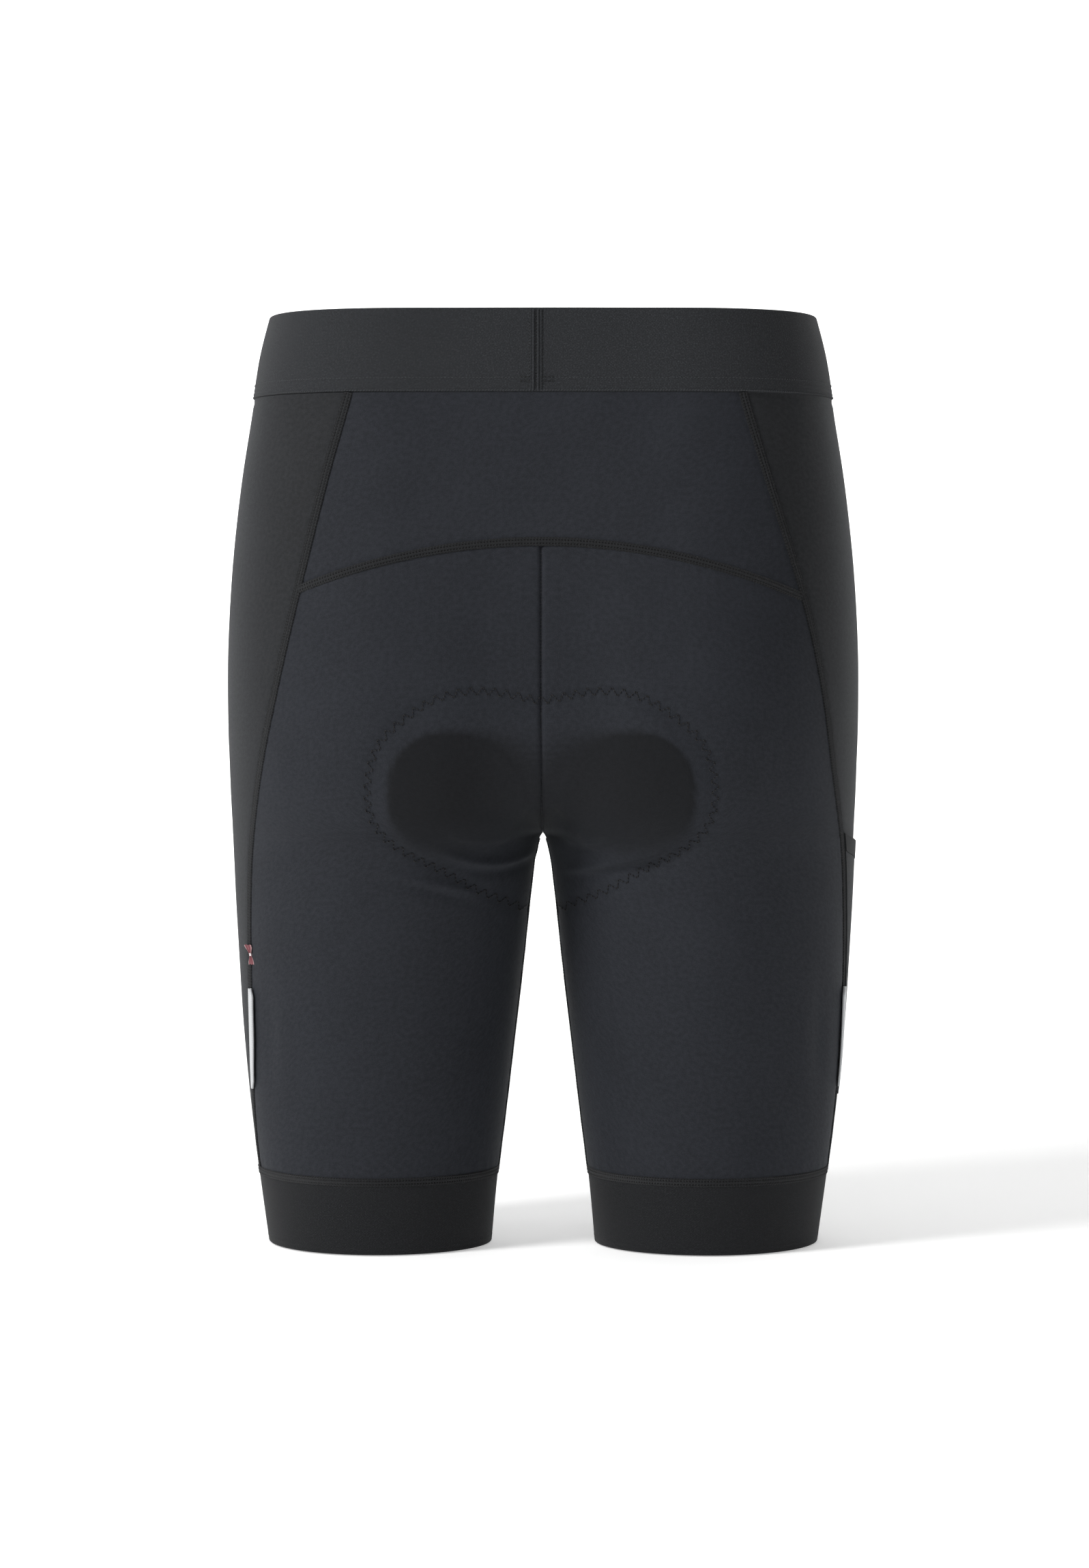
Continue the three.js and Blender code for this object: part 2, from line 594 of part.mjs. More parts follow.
// The pocket lies on the right side panel, on the panel's own points moved out.
function pocketGeometry({ topOffset, bottomOffset, rows, wall }) {
  const bottomRow = rowAtHeight(POCKET_BOTTOM_Z);
  const from = (row) => besideBy(acrossAtBackSeam(row, 1), row, POCKET_INSET);
  const to = (row) => besideBy(acrossAtFrontSeam(row), row, -POCKET_INSET);
  const rowsAt = (share) => {
    const mouthZ = POCKET_TOP_Z - POCKET_TOP_DROP * share;
    const across = (row) => lerp(from(row), to(row), share);
    const rowUnderMouth = (offset) => rowWhere(across, () => mouthZ - offset, FIRST_FIXED_ROW, LAST_ROW);
    const bottom = bottomOffset === undefined ? bottomRow : rowUnderMouth(bottomOffset);
    return steps(rows).map((t) => lerp(rowUnderMouth(topOffset), bottom, t));
  };
  return panelGeometry({
    side: 1, columns: SIDE_COLUMNS, acrossFrom: from, acrossTo: to, rowsAt, proud: POCKET_CLEAR + wall, wall,
  });
}

// A tab of folded tape: its root lies along the back side seam and it leans over the seat panel.
function tabGeometry(side) {
  const [top, bottom] = [rowAtHeight(TAB_TOP_Z), rowAtHeight(TAB_BOTTOM_Z)];
  const sheet = new Sheet();
  const [outward, sideways] = [Math.sin(TAB_LIFT), Math.cos(TAB_LIFT)];
  const rows = steps(TAB_ROWS).map((t) => {
    const row = lerp(top, bottom, t);
    const seam = acrossAtBackSeam(row, side);
    const { point, normal } = bodyPlace(seam, row, side, false);
    const towardBack = surfacePoint(seam - NORMAL_STEP, row).sub(surfacePoint(seam, row)).normalize();
    towardBack.x *= side;
    const reachWay = towardBack.clone().multiplyScalar(sideways).addScaledVector(normal, outward);
    const faceWay = normal.clone().multiplyScalar(sideways).addScaledVector(towardBack, -outward);
    const fromEnd = Math.min(t, 1 - t) * (TAB_TOP_Z - TAB_BOTTOM_Z);
    const reach = TAB_REACH * lerp(TAB_END_SHARE, 1, smoothstep(fromEnd, 0, TAB_CORNER));
    const root = point.addScaledVector(normal, TAB_CLEAR);
    return [reach, reach / 2, 0].map((distance) => {
      const place = { point: root.clone().addScaledVector(reachWay, distance), normal: faceWay };
      return sheet.vertex(place, TAB_WALL, TAB_WALL);
    });
  });
  sheet.grid(rows, side);
  return sheet.wall();
}

// The ribbon runs down the seam, tacked flat at its middle and standing off at both ends.
function ribbonGeometry() {
  const sheet = new Sheet();
  const side = -1;
  const rows = steps(RIBBON_ROWS).map((t) => {
    const fromMiddle = Math.abs(2 * t - 1);
    const row = rowAtHeight(RIBBON.z + RIBBON.height * (0.5 - t));
    const flare = smoothstep(fromMiddle, 0, RIBBON_FLARED_BY);
    const halfWidth = lerp(RIBBON.pinchHalfWidth, RIBBON.halfWidth, flare);
    const lean = RIBBON_TILT * RIBBON.height * (t - 0.5);
    const seam = acrossAtBackSeam(row, side);
    return [1, 0, -1].map((way) => {
      const across = besideBy(seam, row, -lean - way * halfWidth);
      const lift = RIBBON_CLEAR + RIBBON.puff * fromMiddle * fromMiddle + RIBBON.wall;
      return sheet.vertex(bodyPlace(across, row, side, false), lift, RIBBON.wall);
    });
  });
  sheet.grid(rows, side);
  return sheet.wall();
}

function piece(name, geometry, finish) {
  const mesh = new THREE.Mesh(geometry, new THREE.MeshStandardMaterial(finish));
  mesh.name = name;
  return mesh;
}

const trousers = new THREE.Group();
trousers.add(
  piece('waistband', ringGeometry({
    sides: [1, -1], columns: RING_COLUMNS / 2, topZ: WAIST_TOP_Z, bottomZ: WAIST_SEAM_Z,
    proud: WAISTBAND_PROUD, wall: WAISTBAND_WALL,
  }), BAND_KNIT),
  piece('back_yoke', yokeGeometry(), NAVY_KNIT),
  piece('seat_pad', padGeometry(), PAD_FOAM),
  piece('pocket_right', pocketGeometry({
    topOffset: POCKET_HEM_HEIGHT + SEAM_GAP, rows: POCKET_ROWS, wall: POCKET_WALL,
  }), GREY_KNIT),
  piece('pocket_hem_right', pocketGeometry({
    topOffset: 0, bottomOffset: POCKET_HEM_HEIGHT, rows: POCKET_HEM_ROWS, wall: POCKET_HEM_WALL,
  }), HEM_KNIT),
  piece('ribbon_tag', ribbonGeometry(), RIBBON_RED),
);
for (const [label, side] of [['right', 1], ['left', -1]]) {
  trousers.add(
    piece(`seat_${label}`, seatGeometry(side), NAVY_KNIT),
    piece(`side_${label}`, sideGeometry(side), GREY_KNIT),
    piece(`front_${label}`, frontGeometry(side), NAVY_KNIT),
    piece(`hem_${label}`, ringGeometry({
      sides: [side], columns: HEM_COLUMNS, topZ: HEM_SEAM_Z - HALF_GAP, bottomZ: HEM_EDGE_Z,
      proud: HEM_PROUD, wall: HEM_WALL,
    }), HEM_KNIT),
    piece(`tab_${label}`, tabGeometry(side), REFLECTIVE),
  );
}

export default trousers;
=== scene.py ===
"""Padded cycling trousers, dressed and lit.

Every cloth piece lies on one surface, worked out from a table of sections of the worn shape. A place
on it is (across, row): across runs 0 to 4 round one half of the body, from the middle of the back or
the inseam (0) over the rearmost line (1), the outer side (2) and the foremost line (3) to the middle
of the front (4), and rows count the sections down from the waist. Sizes are in millimetres until a
mesh is made. +X is the wearer's right, +Y the way the wearer faces, +Z up.
"""

import logging
import math
from collections.abc import Callable, Sequence
from dataclasses import dataclass, field
from enum import Enum
from functools import cached_property

import bpy
import numpy as np
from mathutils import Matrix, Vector
from mathutils.kdtree import KDTree


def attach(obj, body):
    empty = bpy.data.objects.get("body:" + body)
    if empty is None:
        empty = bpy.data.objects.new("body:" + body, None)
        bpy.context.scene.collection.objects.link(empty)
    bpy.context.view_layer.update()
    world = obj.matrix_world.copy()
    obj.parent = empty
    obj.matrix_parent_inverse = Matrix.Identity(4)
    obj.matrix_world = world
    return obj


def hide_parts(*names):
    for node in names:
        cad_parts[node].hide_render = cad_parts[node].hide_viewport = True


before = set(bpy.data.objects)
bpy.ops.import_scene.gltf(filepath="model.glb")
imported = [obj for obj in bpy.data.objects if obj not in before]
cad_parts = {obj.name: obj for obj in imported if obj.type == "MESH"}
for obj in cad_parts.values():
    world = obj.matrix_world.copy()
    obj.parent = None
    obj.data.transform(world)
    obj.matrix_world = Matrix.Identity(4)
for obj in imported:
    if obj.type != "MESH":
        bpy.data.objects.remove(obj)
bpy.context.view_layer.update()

log = logging.getLogger("trousers")
Array = np.ndarray
MILLIMETRE = 0.001
SOLVER_STEPS = 24
SIDES = {"right": 1, "left": -1}


def solve(gap: Callable[[Array], Array], low: Array, high: Array) -> Array:
    """Finds where rising or falling functions cross zero.

    Args:
        gap: The functions, one for each place in the arrays.
        low: Where each search starts.
        high: Where each search ends.

    Returns:
        The crossing in each range.
    """
    falling = gap(low) > gap(high)
    for _ in range(SOLVER_STEPS):
        middle = (low + high) / 2
        before = (gap(middle) > 0) == falling
        low, high = np.where(before, middle, low), np.where(before, high, middle)
    return (low + high) / 2


def smooth(at: Array, low: float, high: float) -> Array:
    """Rises smoothly from 0 at low to 1 at high."""
    t = np.clip((np.asarray(at, float) - low) / (high - low), 0, 1)
    return t * t * (3 - 2 * t)


def bell(at: Array, width: float) -> Array:
    """1 at 0, falling off on both sides over width."""
    return np.exp(-((np.asarray(at, float) / width) ** 2))


def unit(vectors: Array) -> Array:
    """The same directions, each of length 1."""
    return vectors / np.maximum(np.linalg.norm(vectors, axis=-1, keepdims=True), 1e-12)


@dataclass(frozen=True)
class Curve:
    """Smooth curve through places given as pairs, read from the first number to the second."""

    places: tuple[tuple[float, float], ...]

    def __call__(self, at: Array) -> Array:
        """Reads the curve.

        Args:
            at: Where to read it.

        Returns:
            Its value at each of them.
        """
        x, y = np.array(self.places, float).T
        at = np.asarray(at, float)
        way = 1 if x[1] > x[0] else -1
        i = np.searchsorted(way * x[1:-1], way * at)
        before, after = np.maximum(i - 1, 0), np.minimum(i + 2, len(x) - 1)
        span = x[i + 1] - x[i]
        start = (y[i + 1] - y[before]) / (x[i + 1] - x[before]) * span
        end = (y[after] - y[i]) / (x[after] - x[i]) * span
        rise = y[i + 1] - y[i]
        t = (at - x[i]) / span
        return y[i] + t * (start + t * (3 * rise - 2 * start - end + t * (start + end - 2 * rise)))


@dataclass(frozen=True)
class Form:
    """Worn shape of one half of the body as one surface."""

    names: tuple[str, ...] = (
        "z", "zIn", "outX", "outY", "backX", "backY", "frontX", "frontY",
        "inX", "midBackY", "midFrontY", "turn", "full",
    )
    middle_names: tuple[str, ...] = ("zIn", "inX", "midBackY", "midFrontY", "turn")
    sections: tuple[tuple[float, ...], ...] = (
        (24, 24, 150.2, 0, 68, -98, 60, 92, 0, -99, 94, 0, 0.66),
        (0, 0, 156.3, 0, 70, -101, 62, 94, 0, -102, 96, 0, 0.66),
        (-30, -30, 161, 0, 72, -105, 64, 96, 0, -105.5, 98, 0, 0.65),
        (-70, -70, 167.3, 0, 74, -111, 66, 98, 0, -110.5, 99, 0, 0.63),
        (-115, -115, 172.3, 1, 76, -119, 68, 100, 0, -116.5, 99.5, 0, 0.61),
        (-160, -160, 174.9, 2, 78, -126, 70, 101, 0, -121, 98, 0, 0.6),
        (-200, -200, 175.1, 3, 80, -127, 72, 101, 0, -120, 93, 0, 0.59),
        (-225, -227, 174.4, 4, 82, -122.5, 75, 100.4, 0, -109, 84, 0.1, 0.581),
        (-242, -246.5, 173.9, 4.6, 83.5, -116.6, 77.5, 99.6, 0, -86, 66, 0.35, 0.574),
        (-254, -258, 173.3, 4.9, 84.7, -111.7, 79.3, 98.8, 0, -52, 34, 0.7, 0.569),
        (-264, -262, 172.9, 5, 85.7, -107.7, 80.8, 98, 0, -10, -10, 0.95, 0.565),
        (-274, -266, 172.5, 5, 86.6, -103.9, 82.4, 97.1, 2.2, -10, -10, 1, 0.561),
        (-286, -277, 172, 4.9, 87.6, -100.3, 84.2, 95.9, 4.7, -10, -10, 1, 0.557),
        (-300, -296, 171.4, 4.7, 88.6, -96.9, 86.1, 94.3, 7.1, -9.5, -9.5, 1, 0.5535),
        (-330, -329, 169.7, 4, 90.2, -90.4, 89.3, 90.7, 10.6, -8, -8, 1, 0.5523),
        (-370, -370, 167.2, 3, 91.4, -82.3, 91.4, 85.5, 15.4, -7, -7, 1, 0.5523),
        (-415, -415, 163, 2.5, 91.9, -75, 91.9, 79.3, 20.7, -6, -6, 1, 0.5523),
        (-455, -455, 158, 2, 91.8, -69.5, 91.8, 73.5, 25.6, -5, -5, 1, 0.5523),
        (-492, -492, 152.9, 1.5, 91, -65, 91, 68, 29, -4, -4, 1, 0.5523),
    )
    crotch_row: int = 10
    blend_rows: float = 0.55
    blend_reach: float = 2.6
    blend_from_middle: float = 0.55
    blend_weights: tuple[float, ...] = (0.0625, 0.25, 0.375, 0.25, 0.0625)
    normal_step: float = 0.05
    short_step: float = 1e-4
    tiny: float = 1e-6
    fine_rows: int = 3601
    search_columns: int = 61
    search_rows: int = 145
    search_step: float = 0.002
    search_tries: int = 6
    search_limit: float = 0.05
    search_cutoff: float = 1e-4

    @cached_property
    def table(self) -> Array:
        """The sections as one array."""
        return np.array(self.sections, float)

    @property
    def last_row(self) -> int:
        """Number of the lowest section."""
        return len(self.sections) - 1

    def columns(self, row: Array) -> dict[str, Array]:
        """Reads the table between its sections.

        Args:
            row: Rows to read it at.

        Returns:
            Each named column's values at those rows.
        """
        found = {}
        below = row >= self.crotch_row
        for parted in (False, True):
            names = [name for name in self.names if (name in self.middle_names) == parted]
            low = np.where(below & parted, self.crotch_row, 0)
            high = np.where(~below & parted, self.crotch_row, self.last_row)
            i = np.clip(np.floor(row).astype(int), low, high - 1)
            near = np.clip(i[..., None] + np.arange(-1, 3), low[..., None], high[..., None])
            values = self.table[:, [self.names.index(name) for name in names]][near]
            a, b, c, d = (values[..., k, :] for k in range(4))
            t = (row - i)[..., None]
            value = b + 0.5 * t * (c - a + t * (2 * a - 5 * b + 4 * c - d + t * (3 * (b - c) + d - a)))
            found |= {name: value[..., k] for k, name in enumerate(names)}
        return found

    def section_point(self, across: Array, row: Array) -> Array:
        """Places points on single sections.

        Args:
            across: How far round each one is.
            row: The section of each one.

        Returns:
            Points of the right half.
        """
        s = self.columns(row)
        quarter = np.clip(np.floor(across).astype(int), 0, 3)
        front, inner = quarter > 1, (quarter == 0) | (quarter == 3)
        turn, full = np.clip(s["turn"], 0, 1), s["full"]
        mid_x, mid_y = np.maximum(s["inX"], 0), np.where(front, s["midFrontY"], s["midBackY"])
        far_x, far_y = np.where(front, s["frontX"], s["backX"]), np.where(front, s["frontY"], s["backY"])
        far_z = (s["z"] + s["zIn"]) / 2
        out_x, out_y = s["outX"], s["outY"]
        t = np.where(front, quarter + 1 - across, across - quarter)
        reach_x, reach_y = full * (far_x - mid_x), full * (far_y - mid_y)

        def cubic(a: Array, b: Array, c: Array, d: Array) -> Array:
            """Bezier curve of four numbers."""
            return a * (1 - t) ** 3 + 3 * b * t * (1 - t) ** 2 + 3 * c * t * t * (1 - t) + d * t**3

        near = (
            cubic(mid_x, mid_x + (1 - turn) * reach_x, far_x - reach_x, far_x),
            cubic(mid_y, mid_y + turn * reach_y, far_y, far_y),
            s["zIn"] + (far_z - s["zIn"]) * t,
        )
        outer = (
            cubic(far_x, far_x + full * (out_x - far_x), out_x, out_x),
            cubic(far_y, far_y, out_y + full * (far_y - out_y), out_y),
            far_z + (s["z"] - far_z) * t,
        )
        return np.stack([np.where(inner, a, b) for a, b in zip(near, outer)], -1)

    def point(self, across: Array, row: Array) -> Array:
        """Places points of the right half, sections near the crotch blended with their neighbours.

        Args:
            across: How far round each one is.
            row: The section of each one.

        Returns:
            The points.
        """
        across, row = np.broadcast_arrays(np.asarray(across, float), np.asarray(row, float))
        from_middle = smooth(np.minimum(across, 4 - across), 0, self.blend_from_middle)
        spread = self.blend_rows * from_middle * bell(row - self.crotch_row, self.blend_reach)
        shifts = np.arange(-2, 3).reshape((5,) + (1,) * row.ndim)
        near = self.section_point(across[None], np.clip(row + spread * shifts, 0, self.last_row))
        return np.tensordot(np.array(self.blend_weights), near, 1)

    def middle_normal(self, across: Array, row: Array) -> Array:
        """Outward directions on the middle lines and the inseam, where the halves agree.

        Args:
            across: How far round each place lies.
            row: Row of each place.

        Returns:
            The outward directions.
        """
        above = row < self.crotch_row
        start = np.clip(row - self.normal_step, np.where(above, 0, self.crotch_row), self.last_row)
        end = np.clip(row + self.normal_step, 0, np.where(above, self.crotch_row, self.last_row))
        down = self.point(across, end) - self.point(across, start)
        face, none = np.where(across < 2, 1, -1), np.zeros_like(row)
        over = np.stack([none, face * down[..., 2], -face * down[..., 1]], -1)
        under = np.stack([down[..., 2], none, -down[..., 0]], -1)
        found = unit(np.where(above[..., None], over, under))
        at_crotch = np.abs(row - self.crotch_row) < self.tiny
        return np.where(at_crotch[..., None], np.array([0.0, 0.0, -1.0]), found)

    def normal(self, across: Array, row: Array) -> Array:
        """Outward directions of the surface.

        Args:
            across: How far round each place is.
            row: The section of each place.

        Returns:
            Directions of length 1.
        """
        across, row = np.broadcast_arrays(np.asarray(across, float), np.asarray(row, float))
        step = self.normal_step
        ahead, behind = np.minimum(across + step, 4), np.maximum(across - step, 0)
        round_it = self.point(ahead, row) - self.point(behind, row)
        below, above = np.minimum(row + step, self.last_row), np.maximum(row - step, 0)
        down = self.point(across, below) - self.point(across, above)
        on_middle = (across < self.tiny) | (across > 4 - self.tiny)
        return np.where(on_middle[..., None], self.middle_normal(across, row), unit(np.cross(down, round_it)))

    @cached_property
    def side_heights(self) -> tuple[Array, Array]:
        """Fine rows and their heights at the outer side."""
        rows = np.linspace(0, self.last_row, self.fine_rows)
        return rows, self.point(2.0, rows)[..., 2]

    def row_at(self, z: Array) -> Array:
        """Rows that reach given heights at the outer side."""
        rows, heights = self.side_heights
        return np.interp(-np.asarray(z, float), -heights, rows)

    def beside(self, across: Array, row: Array, length: Array) -> Array:
        """Moves places round the body by a length along the surface."""
        step = self.point(across + self.short_step, row) - self.point(across, row)
        return across + length * self.short_step / np.linalg.norm(step, axis=-1)

    def locate(self, x: Array, z: Array, front: bool = False) -> tuple[Array, Array]:
        """Finds places on the back or the front by what shows of them.

        Args:
            x: Distance of each place from the middle.
            z: Height of each place.
            front: Whether the places are on the front.

        Returns:
            How far round each place is, and its row.
        """
        low, high = (2.0, 4.0) if front else (0.0, 2.0)
        rounds = np.linspace(low, high, self.search_columns)
        rows = np.linspace(0, self.last_row, self.search_rows)
        known = np.stack(np.meshgrid(rounds, rows), -1).reshape(-1, 2)
        shown = self.point(known[:, 0], known[:, 1])[:, [0, 2]]
        wanted = np.stack([x, z], -1).reshape(-1, 2)
        place = np.array([known[np.argmin(np.sum((shown - spot) ** 2, 1))] for spot in wanted])
        step, limit = self.search_step, self.search_limit
        for _ in range(self.search_tries):
            here = self.point(place[:, 0], place[:, 1])[:, [0, 2]]
            slopes = np.stack([
                (self.point(place[:, 0] + step, place[:, 1])[:, [0, 2]] - here) / step,
                (self.point(place[:, 0], place[:, 1] + step)[:, [0, 2]] - here) / step,
            ], -1)
            move = (np.linalg.pinv(slopes, rcond=self.search_cutoff) @ (wanted - here)[..., None])[..., 0]
            place = np.clip(place + np.clip(move, -limit, limit), (low, 0), (high, self.last_row))
        return place[:, 0].reshape(np.shape(x)), place[:, 1].reshape(np.shape(x))


class Face(Enum):
    """The two faces of the body."""

    BACK = -1
    FRONT = 1


@dataclass(frozen=True)
class Fold:
    """Soft crease through three places, its lower flank steeper than its upper one."""

    side: int
    face: Face
    start: tuple[float, float]
    middle: tuple[float, float]
    end: tuple[float, float]
    height: float
    width: float
    lower_share: float = 0.6
    trough_share: float = 0.45

    def lift(self, x: Array, z: Array) -> Array:
        """Height of the crease and of the trough under it.

        Args:
            x: Distance from the middle.
            z: Height.

        Returns:
            How far the cloth is lifted.
        """
        t = (x - self.start[0]) / (self.end[0] - self.start[0])
        bend = self.middle[1] - (self.start[1] + self.end[1]) / 2
        away = z - (self.start[1] + (self.end[1] - self.start[1]) * t + 4 * bend * t * (1 - t))
        ridge = np.where(away > 0, bell(away, self.width), bell(away, self.lower_share * self.width))
        trough = self.trough_share * bell(away + 1.35 * self.width, 0.8 * self.width)
        return self.height * np.sin(np.pi * np.clip(t, 0, 1)) ** 0.8 * (ridge - trough)


@dataclass(frozen=True)
class Hollow:
    """Broad soft dip, or with a negative depth a soft swelling."""

    side: int
    face: Face
    x: float
    z: float
    half_width: float
    half_height: float
    depth: float

    def lift(self, x: Array, z: Array) -> Array:
        """How far the cloth is lifted."""
        over, up = (x - self.x) / self.half_width, (z - self.z) / self.half_height
        return -self.depth * np.exp(-(over**2) - up**2)


@dataclass(frozen=True)
class Relief:
    """What raises or sinks the cloth: the pad and its two lobes, folds and hollows."""

    pad_side: Curve = Curve((
        (-180, 48), (-190, 62), (-208, 85), (-228, 91.3), (-240, 92.3),
        (-252, 89.5), (-266, 77), (-276, 58.5), (-288, 39), (-310, 20),
    ))
    pad_top: Curve = Curve(((0, -187), (18, -183.6), (34.5, -181.7), (50, -184), (62, -190), (90, -212)))
    pad_height: float = 1.4
    pad_edge: float = 14
    lobe_x: float = 45
    lobe_z: float = -238
    lobe_half_width: float = 37
    lobe_half_height: float = 35
    lobe_height: float = 1.0
    lobe_step: float = 0.55
    lobe_lean: float = 0.1
    lobe_inner_reach: float = 0.55
    tone_soft: float = 0.03
    tone_inner_soft: float = 0.35
    tone_low_soft: float = 0.25
    tone_inner_fade: float = 0.2
    tone_low_fade: float = 0.4
    folds: tuple[Fold, ...] = (
        Fold(-1, Face.BACK, (3, -271), (29, -275.6), (60, -265), 2.6, 3.6),
        Fold(-1, Face.BACK, (32, -293), (58, -285.8), (88, -279.5), 1.8, 3.3),
        Fold(-1, Face.BACK, (14, -258), (34, -262), (52, -256), 0.5, 3.6),
        Fold(1, Face.BACK, (12, -281.5), (36, -275), (66, -268), 2.3, 3.6),
        Fold(1, Face.BACK, (10, -262), (26, -264), (44, -258), 0.7, 3.4),
        Fold(1, Face.BACK, (40, -292), (60, -288), (86, -281), 1.0, 3.8),
        Fold(1, Face.FRONT, (20, -268), (48, -255), (84, -226), 1.5, 5.4),
        Fold(1, Face.FRONT, (24, -285), (50, -276), (78, -262), 0.8, 4.6),
        Fold(-1, Face.FRONT, (24, -272), (52, -257), (80, -232), 1.3, 5),
        Fold(-1, Face.FRONT, (30, -292), (54, -284), (82, -272), 1.1, 5),
    )
    hollows: tuple[Hollow, ...] = (
        Hollow(-1, Face.BACK, 117, -219, 22, 30, 1.5),
        Hollow(1, Face.BACK, 126, -236, 20, 34, 1.3),
        Hollow(-1, Face.BACK, 60, -330, 26, 26, 0.7),
        Hollow(1, Face.BACK, 58, -322, 24, 30, 0.6),
        Hollow(-1, Face.BACK, 7, -253, 8, 7, 1.7),
        Hollow(1, Face.BACK, 8, -252, 7, 7, 1.9),
        Hollow(1, Face.BACK, 19, -259, 7, 4.5, -1.4),
        Hollow(-1, Face.BACK, 17, -262, 8, 4, -0.8),
        Hollow(1, Face.BACK, 152, -374, 5, 28, 1.2),
        Hollow(-1, Face.BACK, 149, -374, 5, 28, 0.9),
        Hollow(-1, Face.FRONT, 110, -205, 26, 40, 1.4),
        Hollow(1, Face.FRONT, 112, -212, 26, 42, 1.6),
    )

    def lobe(self, x: Array, z: Array) -> Array:
        """How far out each place is from the middle of the lobe, 1 at its edge.

        Args:
            x: Distance from the middle.
            z: Height.

        Returns:
            Numbers that rise outward.
        """
        lean = self.lobe_lean * (x - self.lobe_x) * np.sign(z - self.lobe_z)
        over = (x - self.lobe_x) / self.lobe_half_width
        return np.hypot(over, (z - self.lobe_z - lean) / self.lobe_half_height)

    def lobe_tone(self, x: Array, z: Array) -> Array:
        """How much of the darker tone of the lobes a place has, with a crisp upper outer edge.

        Args:
            x: Distance from the middle.
            z: Height.

        Returns:
            Numbers from 0 to 1.
        """
        inner = np.clip((self.lobe_x - x) / self.lobe_x, 0, 1)
        outside = self.lobe(np.maximum(x, self.lobe_x - self.lobe_inner_reach * (self.lobe_x - x)), z)
        soft = self.tone_soft + self.tone_inner_soft * inner + self.tone_low_soft * smooth(-z, 240, 275)
        low = 1 - self.tone_low_fade * smooth(-z, 245, 275)
        return (1 - smooth(outside, 1 - soft, 1 + soft)) * low * (1 - self.tone_inner_fade * inner)

    def pad_lift(self, x: Array, z: Array) -> Array:
        """Height that the pad lifts the seat cloth, fading out between the legs.

        Args:
            x: Distance from the middle.
            z: Height.

        Returns:
            How far the cloth is lifted.
        """
        inside = np.minimum(self.pad_side(z) - x, self.pad_top(x) - z)
        lobe = self.lobe(x, z)
        raised = self.pad_height * smooth(inside, 0, self.pad_edge)
        crown = self.lobe_height * (1 - np.minimum(lobe, 1) ** 2) ** 2
        step = self.lobe_step * smooth(1.04 - lobe, 0, 0.09)
        thigh = (1 - smooth(z, -264, -250)) * (1 - smooth(x, 6, 26))
        return (raised + crown + step) * (1 - thigh) * smooth(z, -296, -262)

    def lift(self, x: Array, z: Array, side: Array, face: Face) -> Array:
        """Height of everything but the pad at each place.

        Args:
            x: Distance from the middle.
            z: Height.
            side: The half, 1 for the right and -1 for the left.
            face: The face that the places are on.

        Returns:
            How far the cloth is lifted there.
        """
        total = np.zeros(np.broadcast(x, z).shape)
        for form in (*self.folds, *self.hollows):
            if form.face is face:
                total = total + np.where(np.asarray(side) == form.side, form.lift(x, z), 0)
        return total


@dataclass
class Places:
    """Points on the cloth with their outward directions."""

    point: Array
    normal: Array

    def out(self, height: Array | float) -> Array:
        """The points moved outward by a height."""
        return self.point + self.normal * np.broadcast_to(height, self.point.shape[:-1])[..., None]


